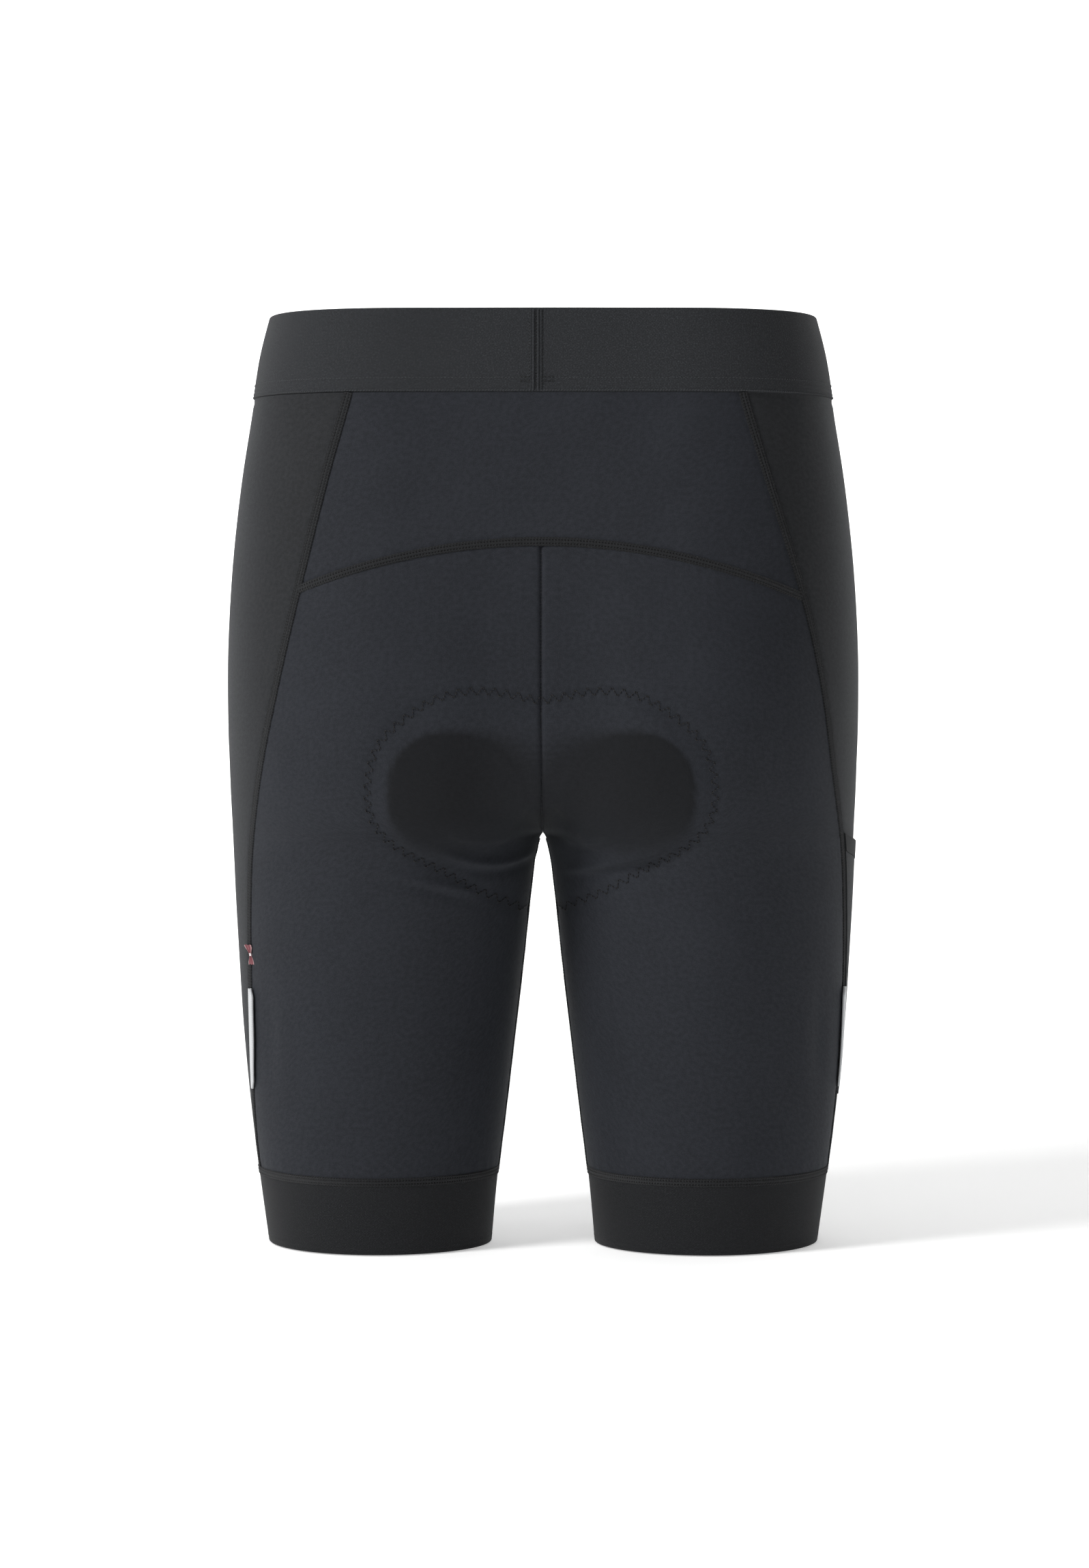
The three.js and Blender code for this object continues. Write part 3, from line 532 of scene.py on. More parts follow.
class Body:
    """The form with its relief and its seam lines, on either half."""

    back_left = Curve((
        (30, 89), (-29, 104.6), (-68, 115.4), (-134, 131.5), (-178, 141.9), (-223, 151.9), (-268, 158.7),
        (-303, 160.6), (-337, 160.8), (-374, 160.8), (-401, 160.6), (-430, 159.2), (-450, 157), (-495, 151),
    ))
    back_right = Curve((
        (30, 93), (-29, 109.2), (-68, 121), (-134, 141), (-178, 151), (-223, 157.8), (-268, 164.3),
        (-303, 166.1), (-337, 166.5), (-374, 165.6), (-401, 163.8), (-430, 160.8), (-450, 158.2), (-495, 152),
    ))
    front = Curve((
        (30, 92), (-25, 98), (-127, 120), (-178, 128), (-236, 134),
        (-280, 136), (-344, 136), (-401, 134), (-450, 131), (-495, 128),
    ))
    row_count = 1801
    yoke_middle = -102.5
    yoke_drop = 24.6
    yoke_half_width = 128

    def __init__(self, form: Form, relief: Relief) -> None:
        """Keeps the form and works out the seam lines.

        Args:
            form: The worn shape.
            relief: What lies under and in the cloth.
        """
        self.form, self.relief = form, relief
        self.rows = np.linspace(0, form.last_row, self.row_count)
        self.back_seams = {1: self.seam(self.back_right, 0.9, 2), -1: self.seam(self.back_left, 0.9, 2)}
        self.front_seam = self.seam(self.front, 2, 3.1)

    def seam(self, line: Curve, low: float, high: float) -> Array:
        """How far round a seam lies at each of the body's rows.

        Args:
            line: Distance of the seam from the middle, over the height.
            low: How far round each search starts.
            high: How far round each search ends.

        Returns:
            How far round it lies at each row.
        """

        def gap(across: Array) -> Array:
            """How far beyond the seam's line a place is."""
            p = self.form.point(across, self.rows)
            return p[..., 0] - line(p[..., 2])

        return solve(gap, np.full_like(self.rows, low), np.full_like(self.rows, high))

    def back_seam(self, row: Array, side: int) -> Array:
        """How far round the back side seam of one half lies."""
        return np.interp(row, self.rows, self.back_seams[side])

    def front_seam_at(self, row: Array) -> Array:
        """How far round the front side seam lies."""
        return np.interp(row, self.rows, self.front_seam)

    def yoke_height(self, x: Array) -> Array:
        """Height of the seam under the back yoke, over the distance from the middle."""
        return self.yoke_middle - self.yoke_drop * (np.asarray(x, float) / self.yoke_half_width) ** 2

    def places(self, across: Array, row: Array, side: Array, folded: bool = True, pad: bool = True) -> Places:
        """Places on the cloth.

        Args:
            across: How far round each one is.
            row: The row of each one.
            side: 1 on the right half, -1 on the left.
            folded: Whether folds and hollows count.
            pad: Whether the pad's height counts.

        Returns:
            The points and their outward directions.
        """
        across, row = np.asarray(across, float), np.asarray(row, float)
        across, row, side = np.broadcast_arrays(across, row, np.asarray(side))
        point, normal = self.form.point(across, row), self.form.normal(across, row)
        x, z, on_back = point[..., 0], point[..., 2], across < 2
        lift = np.where(on_back, self.relief.pad_lift(x, z), 0) if pad else np.zeros_like(x)
        if folded:
            back, front = (self.relief.lift(x, z, side, face) for face in (Face.BACK, Face.FRONT))
            lift = lift + np.where(on_back, back, front)
        point = point + normal * lift[..., None]
        mirror = np.stack([side, np.ones_like(side), np.ones_like(side)], -1)
        return Places(point * mirror, normal * mirror)

    def row_where(self, across_at: Callable[[Array], Array], height: Callable[[Array], Array],
                  low: Array, high: Array) -> Array:
        """Rows where lines down the surface meet a curve given as a height over x.

        Args:
            across_at: How far round each line lies at given rows.
            height: The curve.
            low: Row where each search starts.
            high: Row where each search ends.

        Returns:
            The row of each line.
        """

        def gap(row: Array) -> Array:
            """How far above the curve a place is."""
            p = self.form.point(across_at(row), row)
            return p[..., 2] - height(p[..., 0])

        return solve(gap, low, high)


@dataclass
class Grid:
    """Grid of points in millimetres that becomes one closed mesh.

    Rows run down the outer face and up the inner one, so the last row joins the first. With closed
    columns the last column joins the first too; otherwise both end columns are capped.
    """

    points: Array
    cloth: Array
    closed_columns: bool = False
    marks: dict[str, Array] = field(default_factory=dict)

    @classmethod
    def wall(cls, outer: Array, inner: Array, cloth: Array, closed_columns: bool = False,
             marks: dict[str, Array] | None = None) -> "Grid":
        """A cloth wall between two faces.

        Args:
            outer: Points of the outer face, rows by columns.
            inner: Points of the inner face.
            cloth: Place of each point on the flat cloth, in millimetres.
            closed_columns: Whether the wall goes all the way round.
            marks: Named numbers of the points, kept for the finishes.

        Returns:
            The wall as one grid.
        """
        both = {name: np.concatenate([mark, mark[::-1]]) for name, mark in (marks or {}).items()}
        points, flat = np.concatenate([outer, inner[::-1]]), np.concatenate([cloth, cloth[::-1]])
        return cls(points, flat, closed_columns, both)

    def mesh(self, name: str, sharp: float = 50) -> bpy.types.Object:
        """Makes the mesh.

        Args:
            name: Name of the piece.
            sharp: Edges over this angle, in degrees, stay sharp.

        Returns:
            The new object, in metres.
        """
        rows, columns = self.points.shape[:2]
        wide = columns if self.closed_columns else columns - 1
        i, j = (index.ravel() for index in np.meshgrid(np.arange(rows), np.arange(wide), indexing="ij"))
        corners = np.stack([np.stack([i + a, j + b], -1) for a, b in ((0, 0), (1, 0), (1, 1), (0, 1))], 1)
        faces = (corners[..., 0] % rows) * columns + corners[..., 1] % columns
        cloth = np.concatenate([self.cloth, self.cloth[:, -1:] * 2 - self.cloth[:, -2:-1]], 1)
        spots = cloth[corners[..., 0] % rows, corners[..., 1]]
        polygons, uv = faces.tolist(), spots.reshape(-1, 2)
        if not self.closed_columns:
            half = rows // 2
            k = np.arange(half - 1) if rows % 2 == 0 else np.arange(half)
            for column, order in ((0, (1, 0, 3, 2)), (columns - 1, (0, 1, 2, 3))):
                ring = np.stack([k, k + 1, rows - 2 - k, rows - 1 - k], -1)[:, list(order)]
                polygons += (ring * columns + column).tolist()
                uv = np.concatenate([uv, self.cloth[ring, column].reshape(-1, 2)])
        return new_object(name, self.points.reshape(-1, 3), polygons, uv, sharp,
                          {mark: value.ravel() for mark, value in self.marks.items()})


def new_object(name: str, points: Array, polygons: list[list[int]], uv: Array, sharp: float,
               marks: dict[str, Array] | None = None) -> bpy.types.Object:
    """Makes an object of points and faces.

    Args:
        name: Name of the piece.
        points: Its points in millimetres.
        polygons: Its faces, as lists of point numbers.
        uv: Place on the flat cloth of each corner of each face.
        sharp: Edges over this angle, in degrees, stay sharp.
        marks: Named numbers of the points.

    Returns:
        The new object, in metres.
    """
    mesh = bpy.data.meshes.new(name)
    mesh.from_pydata((points * MILLIMETRE).tolist(), [], polygons)
    mesh.uv_layers.new(name="Cloth").uv.foreach_set("vector", uv.astype(np.float32).ravel())
    for mark, value in (marks or {}).items():
        mesh.attributes.new(mark, "FLOAT", "POINT").data.foreach_set("value", value.astype(np.float32))
    mesh.shade_smooth()
    mesh.set_sharp_from_angle(angle=math.radians(sharp))
    mesh.update()
    made = bpy.data.objects.new(name, mesh)
    bpy.context.collection.objects.link(made)
    return made


def report(piece: bpy.types.Object) -> None:
    """Says what was made and how many triangles it has."""
    count = sum(len(p.vertices) - 2 for p in piece.data.polygons)
    log.info("%s: %d triangles", piece.name, count)


class Signal:
    """Output of a material's node, with arithmetic on it that adds Math nodes."""

    def __init__(self, bench: "Bench", socket: bpy.types.NodeSocket) -> None:
        """Keeps the socket and the bench that it is on."""
        self.bench, self.socket = bench, socket

    def math(self, operation: str, *others: "Signal | float") -> "Signal":
        """Adds one Math node that reads this value first."""
        return self.bench.math(operation, self, *others)

    def __add__(self, other: "Signal | float") -> "Signal":
        """Sum."""
        return self.math("ADD", other)

    def __sub__(self, other: "Signal | float") -> "Signal":
        """Difference."""
        return self.math("SUBTRACT", other)

    def __rsub__(self, other: "Signal | float") -> "Signal":
        """Difference from a number."""
        return self.bench.math("SUBTRACT", other, self)

    def __mul__(self, other: "Signal | float") -> "Signal":
        """Product."""
        return self.math("MULTIPLY", other)

    def __truediv__(self, other: "Signal | float") -> "Signal":
        """Quotient."""
        return self.math("DIVIDE", other)

    def __rtruediv__(self, other: "Signal | float") -> "Signal":
        """A number divided by this."""
        return self.bench.math("DIVIDE", other, self)

    __radd__, __rmul__ = __add__, __mul__

    def wave(self) -> "Signal":
        """Smooth wave from 0 to 1 that repeats at every whole number."""
        return (self * math.tau).math("SINE") * 0.5 + 0.5

    def near_whole(self) -> "Signal":
        """Distance to the nearest whole number, 0 to 0.5."""
        return self.math("PINGPONG", 0.5)

    def step(self, low: float, high: float) -> "Signal":
        """Rises smoothly from 0 at low to 1 at high."""
        return self.bench.node("ShaderNodeMapRange", {"interpolation_type": "SMOOTHSTEP"},
                               {"Value": self, "From Min": low, "From Max": high})


class Bench:
    """Node tree of one material, where finishes are put together."""

    def __init__(self, name: str) -> None:
        """Starts a material with that name.

        Args:
            name: Name of the material.
        """
        self.material = bpy.data.materials.new(name)
        self.material.use_nodes = True
        self.tree = self.material.node_tree
        self.tree.nodes.clear()

    def node(self, kind: str, settings: dict | None = None, sockets: dict | None = None,
             output: int | str = 0) -> Signal:
        """Adds any node.

        Args:
            kind: Its type.
            settings: Its settings, set first.
            sockets: Values or signals of its inputs, by name or number.
            output: The output that is wanted.

        Returns:
            That output.
        """
        made = self.tree.nodes.new(kind)
        for name, value in (settings or {}).items():
            setattr(made, name, value)
        for name, value in (sockets or {}).items():
            if isinstance(value, Signal):
                self.tree.links.new(value.socket, made.inputs[name])
            else:
                made.inputs[name].default_value = value
        return Signal(self, made.outputs[output])

    def math(self, operation: str, *values: Signal | float) -> Signal:
        """Adds one Math node."""
        return self.node("ShaderNodeMath", {"operation": operation}, dict(enumerate(values)))

    def mix(self, factor: Signal | float, first: Signal | tuple, second: Signal | tuple) -> Signal:
        """Mixes two colours."""
        return self.node("ShaderNodeMix", {"data_type": "RGBA"}, {0: factor, 6: first, 7: second}, 2)

    def cloth(self) -> tuple[Signal, Signal]:
        """Place on the flat cloth in millimetres, across and down."""
        spot = self.node("ShaderNodeUVMap", {"uv_map": "Cloth"})
        apart = self.node("ShaderNodeSeparateXYZ", {}, {0: spot})
        return apart, Signal(self, apart.socket.node.outputs[1])

    def speckle(self, u: Signal, v: Signal, size_u: float, size_v: float, detail: float = 2.0) -> Signal:
        """Noise from 0 to 1 over the cloth, with grains of the given size in millimetres.

        Args:
            u: Distance across.
            v: Distance down.
            size_u: Size of a spot across, in millimetres.
            size_v: Size of a spot down, in millimetres.
            detail: How much finer noise is laid over it.

        Returns:
            The speckle, from 0 to 1.
        """
        spot = self.node("ShaderNodeCombineXYZ", {}, {0: u / size_u, 1: v / size_v})
        return self.node("ShaderNodeTexNoise", {"noise_dimensions": "2D"},
                         {"Vector": spot, "Scale": 1.0, "Detail": detail})

    def mark(self, name: str) -> Signal:
        """Named number kept on the mesh."""
        return self.node("ShaderNodeAttribute", {"attribute_name": name}, {}, "Fac")

    def bump(self, height: Signal, depth: float) -> Signal:
        """Surface direction tipped by a height from 0 to 1 that is depth millimetres deep."""
        sockets = {"Height": height, "Distance": depth * MILLIMETRE, "Strength": 1.0}
        return self.node("ShaderNodeBump", {}, sockets)

    def surface(self, **sockets: Signal | float | tuple) -> bpy.types.Material:
        """Ends the material with its surface shader.

        Args:
            sockets: Values or signals of its inputs, with underscores for the blanks in their names.

        Returns:
            The finished material.
        """
        named = {name.replace("_", " "): value for name, value in sockets.items()}
        shader = self.node("ShaderNodeBsdfPrincipled", {}, named)
        end = self.tree.nodes.new("ShaderNodeOutputMaterial")
        self.tree.links.new(shader.socket, end.inputs["Surface"])
        return self.material


def paint(hexcode: str, scale: float = 1.0) -> tuple[float, float, float, float]:
    """Turns a screen colour into light values.

    Args:
        hexcode: Colour as #rrggbb.
        scale: How much lighter it is made.

    Returns:
        Red, green, blue and 1.
    """
    parts = (int(hexcode[i : i + 2], 16) / 255 for i in (1, 3, 5))
    light = (p / 12.92 if p <= 0.04045 else ((p + 0.055) / 1.055) ** 2.4 for p in parts)
    return (*(min(1.0, scale * p) for p in light), 1.0)


@dataclass(frozen=True)
class KnitFinish:
    """Fine smooth knit with a faint mottle and a soft nap; on the seat, a darker lobe tone and a painted
    shade at the crotch pinch.
    """

    name: str
    colour: str
    wale: float = 0.62
    course: float = 0.5
    depth: float = 0.05
    mottle: float = 0.2
    roughness: float = 0.82
    sheen: float = 0.3
    # Turns on the pad's darker lobe tone and the painted shade at the crotch pinch.
    lobes: bool = False
    fine_grain: tuple[float, float, float] = (0.5, 0.45, 2.0)
    coarse_grain: tuple[float, float, float] = (2.6, 2.2, 3.0)
    patches: tuple[float, float] = (34, 46)
    lobe_colour: str = "#151618"
    # Near black, for the painted shade at the crotch pinch, where its fold lies in shadow.
    painted_shade_colour: str = "#08090a"

    def material(self) -> bpy.types.Material:
        """Makes the finish."""
        bench = Bench(self.name)
        u, v = bench.cloth()
        loop = ((u / self.wale).near_whole() * 1.3 + v / self.course).wave()
        rib = (u / self.wale).wave()
        yarn = loop * 0.6 + rib * 0.4
        fine, coarse = bench.speckle(u, v, *self.fine_grain), bench.speckle(u, v, *self.coarse_grain)
        fleck = (fine * 0.6 + coarse * 0.4).step(0.3, 0.7)
        patch = bench.speckle(u, v, *self.patches)
        tone = yarn * 0.22 + fleck * 0.5 + patch * 0.28
        dark, light = paint(self.colour, 1 - self.mottle), paint(self.colour, 1 + self.mottle)
        colour = bench.mix(tone.step(0.2, 0.8), dark, light)
        if self.lobes:
            colour = bench.mix(bench.mark("lobe") * 0.85, colour, paint(self.lobe_colour, 0.9))
            # Painted shade: the crotch pinch darkened from its mark.
            colour = bench.mix(bench.mark("shade") * 0.75, colour, paint(self.painted_shade_colour))
        return bench.surface(
            Base_Color=colour, Roughness=self.roughness - 0.08 * fleck,
            Normal=bench.bump(yarn * 0.7 + fleck * 0.5, self.depth), Specular_IOR_Level=0.14,
            Sheen_Weight=self.sheen, Sheen_Roughness=0.45, Sheen_Tint=(0.9, 0.95, 1.0, 1.0),
        )


@dataclass(frozen=True)
class ElasticFinish:
    """Ribbed elastic with light and dark specks, used for the waist and leg bands."""

    name: str
    colour: str
    light: str
    rib: float = 1.05
    pick: float = 0.8
    slant: float = 0.0
    depth: float = 0.11
    roughness: float = 0.88

    def material(self) -> bpy.types.Material:
        """Makes the finish."""
        bench = Bench(self.name)
        u, v = bench.cloth()
        along = u / self.rib + v * (self.slant / self.rib)
        rib = along.wave()
        column = (along + 0.25).math("FLOOR")
        pick = (v / self.pick + column * 0.5).wave()
        grain = bench.speckle(u + v * self.slant, v, 0.55, 0.95)
        specks = bench.speckle(u, v, 0.8, 0.8).step(0.5, 0.72)
        tone = (rib * 0.25 + pick * 0.25 + grain * 0.5).step(0.3, 0.75) * 0.6 + specks * 0.4
        colour = bench.mix(tone, paint(self.colour), paint(self.light))
        height = rib * 0.45 + pick * 0.3 + grain * 0.35
        return bench.surface(
            Base_Color=colour, Roughness=self.roughness - 0.06 * grain, Normal=bench.bump(height, self.depth),
            Specular_IOR_Level=0.14, Sheen_Weight=0.05, Sheen_Roughness=0.5, Sheen_Tint=(1.0, 1.0, 1.0, 1.0),
        )


@dataclass(frozen=True)
class FlatSeamFinish:
    """Cover threads of a flat seam, with painted shade: near black in the gaps between them and in dashes
    beside its edges.
    """

    name: str
    colour: str
    # Colour of the painted shade in the gaps between the threads.
    gap: str
    pitch: float
    row_offset: float
    edge_offset: float

    def material(self) -> bpy.types.Material:
        """Makes the finish."""
        bench = Bench(self.name)
        u, v = bench.cloth()
        twist = (u * 2.3 + v * 1.4).wave()
        thread = bench.speckle(u, v, 0.4, 0.4)
        far = v.math("ABSOLUTE")
        spot = (u / self.pitch + far * 0.25).near_whole() * 2
        rows = (1 - ((far - self.row_offset).math("ABSOLUTE") / 0.5).step(0.35, 1.0))
        edge = (1 - ((far - self.edge_offset).math("ABSOLUTE") / 0.4).step(0.3, 1.0))
        # Painted shade: dark in the stitch gaps of both rows and in dashes beside the edges.
        hole = (1 - spot.step(0.2, 0.8)) * rows + (1 - (1 - spot).step(0.2, 0.9)) * edge * 0.8
        hole = hole.math("MINIMUM", 1.0)
        tone = twist * 0.5 + thread * 0.5
        threads = bench.mix(tone.step(0.3, 0.7), paint(self.colour, 0.35), paint(self.colour, 1.75))
        return bench.surface(
            Base_Color=bench.mix(hole, threads, paint(self.gap)), Roughness=0.86 - 0.1 * tone,
            Normal=bench.bump(twist * 0.6 + thread * 0.4 - hole, 0.3), Specular_IOR_Level=0.2,
            Sheen_Weight=0.06, Sheen_Roughness=0.5, Sheen_Tint=(1.0, 1.0, 1.0, 1.0),
        )


@dataclass(frozen=True)
class ThreadFinish:
    """Twisted sewing thread."""

    name: str
    colour: str
    roughness: float = 0.7

    def material(self) -> bpy.types.Material:
        """Makes the finish."""
        bench = Bench(self.name)
        u, v = bench.cloth()
        twist = (u * 2.6 + v * 1.6).wave()
        colour = bench.mix(twist, paint(self.colour, 0.7), paint(self.colour, 1.3))
        return bench.surface(Base_Color=colour, Roughness=self.roughness + 0.1 * twist,
                             Normal=bench.bump(twist, 0.05), Specular_IOR_Level=0.35, Sheen_Weight=0.1)


@dataclass(frozen=True)
class ReflectiveFinish:
    """Silver tape woven with beads that throw light back."""

    name: str
    colour: str
    weave: float = 0.62

    def material(self) -> bpy.types.Material:
        """Makes the finish."""
        bench = Bench(self.name)
        u, v = bench.cloth()
        across, down = u / self.weave, v / self.weave
        warp, weft = across.wave(), (down + across.math("FLOOR") * 0.5).wave()
        grain = bench.speckle(u, v, 0.3, 0.3)
        tone = warp * 0.35 + weft * 0.35 + grain * 0.3
        return bench.surface(
            Base_Color=bench.mix(tone, paint(self.colour, 0.55), paint(self.colour, 1.25)),
            Metallic=0.35 * tone, Roughness=0.5 - 0.15 * tone, Normal=bench.bump(tone, 0.07),
            Specular_IOR_Level=0.5,
        )


@dataclass(frozen=True)
class RibbonFinish:
    """Narrow woven ribbon: a dusty red face with pale edges."""

    name: str
    colour: str
    edge: str
    width: float

    def material(self) -> bpy.types.Material:
        """Makes the finish."""
        bench = Bench(self.name)
        u, v = bench.cloth()
        rib, thread = (v / 0.36).wave(), bench.speckle(u, v, 0.4, 0.2)
        edge = (u.math("ABSOLUTE") / (self.width / 2)).step(0.62, 0.72)
        pale = edge + bench.speckle(u, v, 1.1, 4).step(0.6, 0.72) * 0.5
        face = bench.mix(thread, paint(self.colour, 0.7), paint(self.colour, 1.25))
        colour = bench.mix(pale.math("MINIMUM", 1.0), face, paint(self.edge))
        return bench.surface(
            Base_Color=colour, Roughness=0.6 - 0.12 * thread,
            Normal=bench.bump(rib * 0.6 + thread * 0.4, 0.05), Specular_IOR_Level=0.45,
            Sheen_Weight=0.3, Sheen_Roughness=0.35,
        )


@dataclass(frozen=True)
class BrushedFinish:
    """Brushed cover of the seat pad, with fine air holes and painted shade in them."""

    name: str
    colour: str
    # Colour of the painted shade in the air holes.
    hole: str = "#0d0f12"

    def material(self) -> bpy.types.Material:
        """Makes the finish."""
        bench = Bench(self.name)
        spot = bench.node("ShaderNodeTexCoord", {}, {}, "Object")
        nap = bench.node("ShaderNodeTexNoise", {}, {"Vector": spot, "Scale": 900.0, "Detail": 3.0})
        patch = bench.node("ShaderNodeTexNoise", {}, {"Vector": spot, "Scale": 22.0, "Detail": 2.0})
        dots = bench.node("ShaderNodeTexVoronoi", {}, {"Vector": spot, "Scale": 260.0, "Randomness": 0.15})
        # Painted shade: the air holes darkened in the colour, as well as dipped by the bump.
        hole = 1 - dots.step(0.18, 0.34)
        tone = nap * 0.6 + patch * 0.4
        cloth = bench.mix(tone, paint(self.colour, 0.75), paint(self.colour, 1.3))
        return bench.surface(
            Base_Color=bench.mix(hole * 0.7, cloth, paint(self.hole)), Roughness=0.95 - 0.06 * nap,
            Normal=bench.bump(nap * 0.5 - hole * 0.5, 0.25), Specular_IOR_Level=0.25,
            Sheen_Weight=0.5, Sheen_Roughness=0.4,
        )


@dataclass(frozen=True)
class StageFinish:
    """Plain pale floor."""

    name: str
    colour: str
    glow: float

    def material(self) -> bpy.types.Material:
        """Makes the finish."""
        bench = Bench(self.name)
        spot = bench.node("ShaderNodeTexCoord", {}, {}, "Object")
        cloud = bench.node("ShaderNodeTexNoise", {}, {"Vector": spot, "Scale": 1.3, "Detail": 1.0})
        return bench.surface(Base_Color=bench.mix(cloud, paint(self.colour), paint("#ffffff")), Roughness=0.9,
                             Specular_IOR_Level=0.1, Emission_Color=(1.0, 1.0, 1.0, 1.0),
                             Emission_Strength=self.glow)


class Finishes:
    """All finishes of the trousers."""

    def __init__(self) -> None:
        """Makes each material once."""
        self.main_knit = KnitFinish("main_knit", "#25272c", sheen=0.04).material()
        # The seat's knit also carries the painted shade at the crotch pinch.
        self.seat_knit = KnitFinish("seat_knit", "#25272c", sheen=0.04, lobes=True).material()
        self.side_knit = KnitFinish("side_knit", "#242527", sheen=0.06).material()
        waist = ElasticFinish("waistband_elastic", "#1d1e20", "#3b3d40", rib=0.74, pick=0.6, slant=0.55)
        hem = ElasticFinish("leg_band_elastic", "#131416", "#2c2d2f", rib=0.9, pick=0.7, slant=0.7,
                            depth=0.09)
        self.waist, self.hem = waist.material(), hem.material()
        # Its second colour is the painted shade in the seam's gaps.
        self.flat_seam = FlatSeamFinish("flat_seam", "#232426", "#060607", 1.65, 0.95, 2.1).material()
        self.thread = ThreadFinish("dark_thread", "#050506").material()
        self.pale_thread = ThreadFinish("grey_thread", "#2f3134").material()
        self.reflective = ReflectiveFinish("reflective_tape", "#c9cbcd").material()
        self.ribbon = RibbonFinish("ribbon", "#743a41", "#a88788", 5.0).material()
        self.ribbon_tack = ThreadFinish("ribbon_tack", "#e4dedd").material()
        self.pad = BrushedFinish("pad_cover", "#3a3f47").material()


def dress(piece: bpy.types.Object, material: bpy.types.Material, slot: str, *nodes: str) -> bpy.types.Object:
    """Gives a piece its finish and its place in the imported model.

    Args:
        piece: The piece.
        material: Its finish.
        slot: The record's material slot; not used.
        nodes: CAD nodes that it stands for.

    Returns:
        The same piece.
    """
    piece.data.materials.append(material)
    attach(piece, "root")
    if nodes:
        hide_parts(*nodes)
    report(piece)
    return piece


def lengths(points: Array, axis: int) -> Array:
    """Length along the surface from the first row or column of a grid to each point.

    Args:
        points: Points in rows and columns.
        axis: The axis that the lines run along.

    Returns:
        Distance of each point from the first of its line.
    """
    steps = np.linalg.norm(np.diff(points, axis=axis), axis=-1)
    start = np.zeros_like(np.take(steps, [0], axis=axis))
    return np.concatenate([start, np.cumsum(steps, axis=axis)], axis=axis)


@dataclass(frozen=True)
class Cut:
    """Size that a piece is cut to before it is sewn and worn, in metres and square metres."""

    width: float
    length: float
    area: float

    def declare(self, piece: bpy.types.Object, held: str, rests_on: Sequence[str] = ()) -> None:
        """Says what a thin closed piece was cut from. Its cloth is half of its surface.

        Args:
            piece: The piece.
            held: How its cloth is held; not used.
            rests_on: Pieces that carry it; not used.
        """
        worn = sum(p.area for p in piece.data.polygons) / 2
        spots = np.empty(2 * len(piece.data.loops))
        piece.data.uv_layers["Cloth"].uv.foreach_get("vector", spots)
        width, length = np.ptp(spots.reshape(-1, 2), axis=0)
        log.info("%s: worn %.1f x %.1f mm, area %.6f, cut %.6f, share %.3f", piece.name, width, length,
                 worn, self.area, worn / self.area)
        whole = self.width * self.length
        self.length


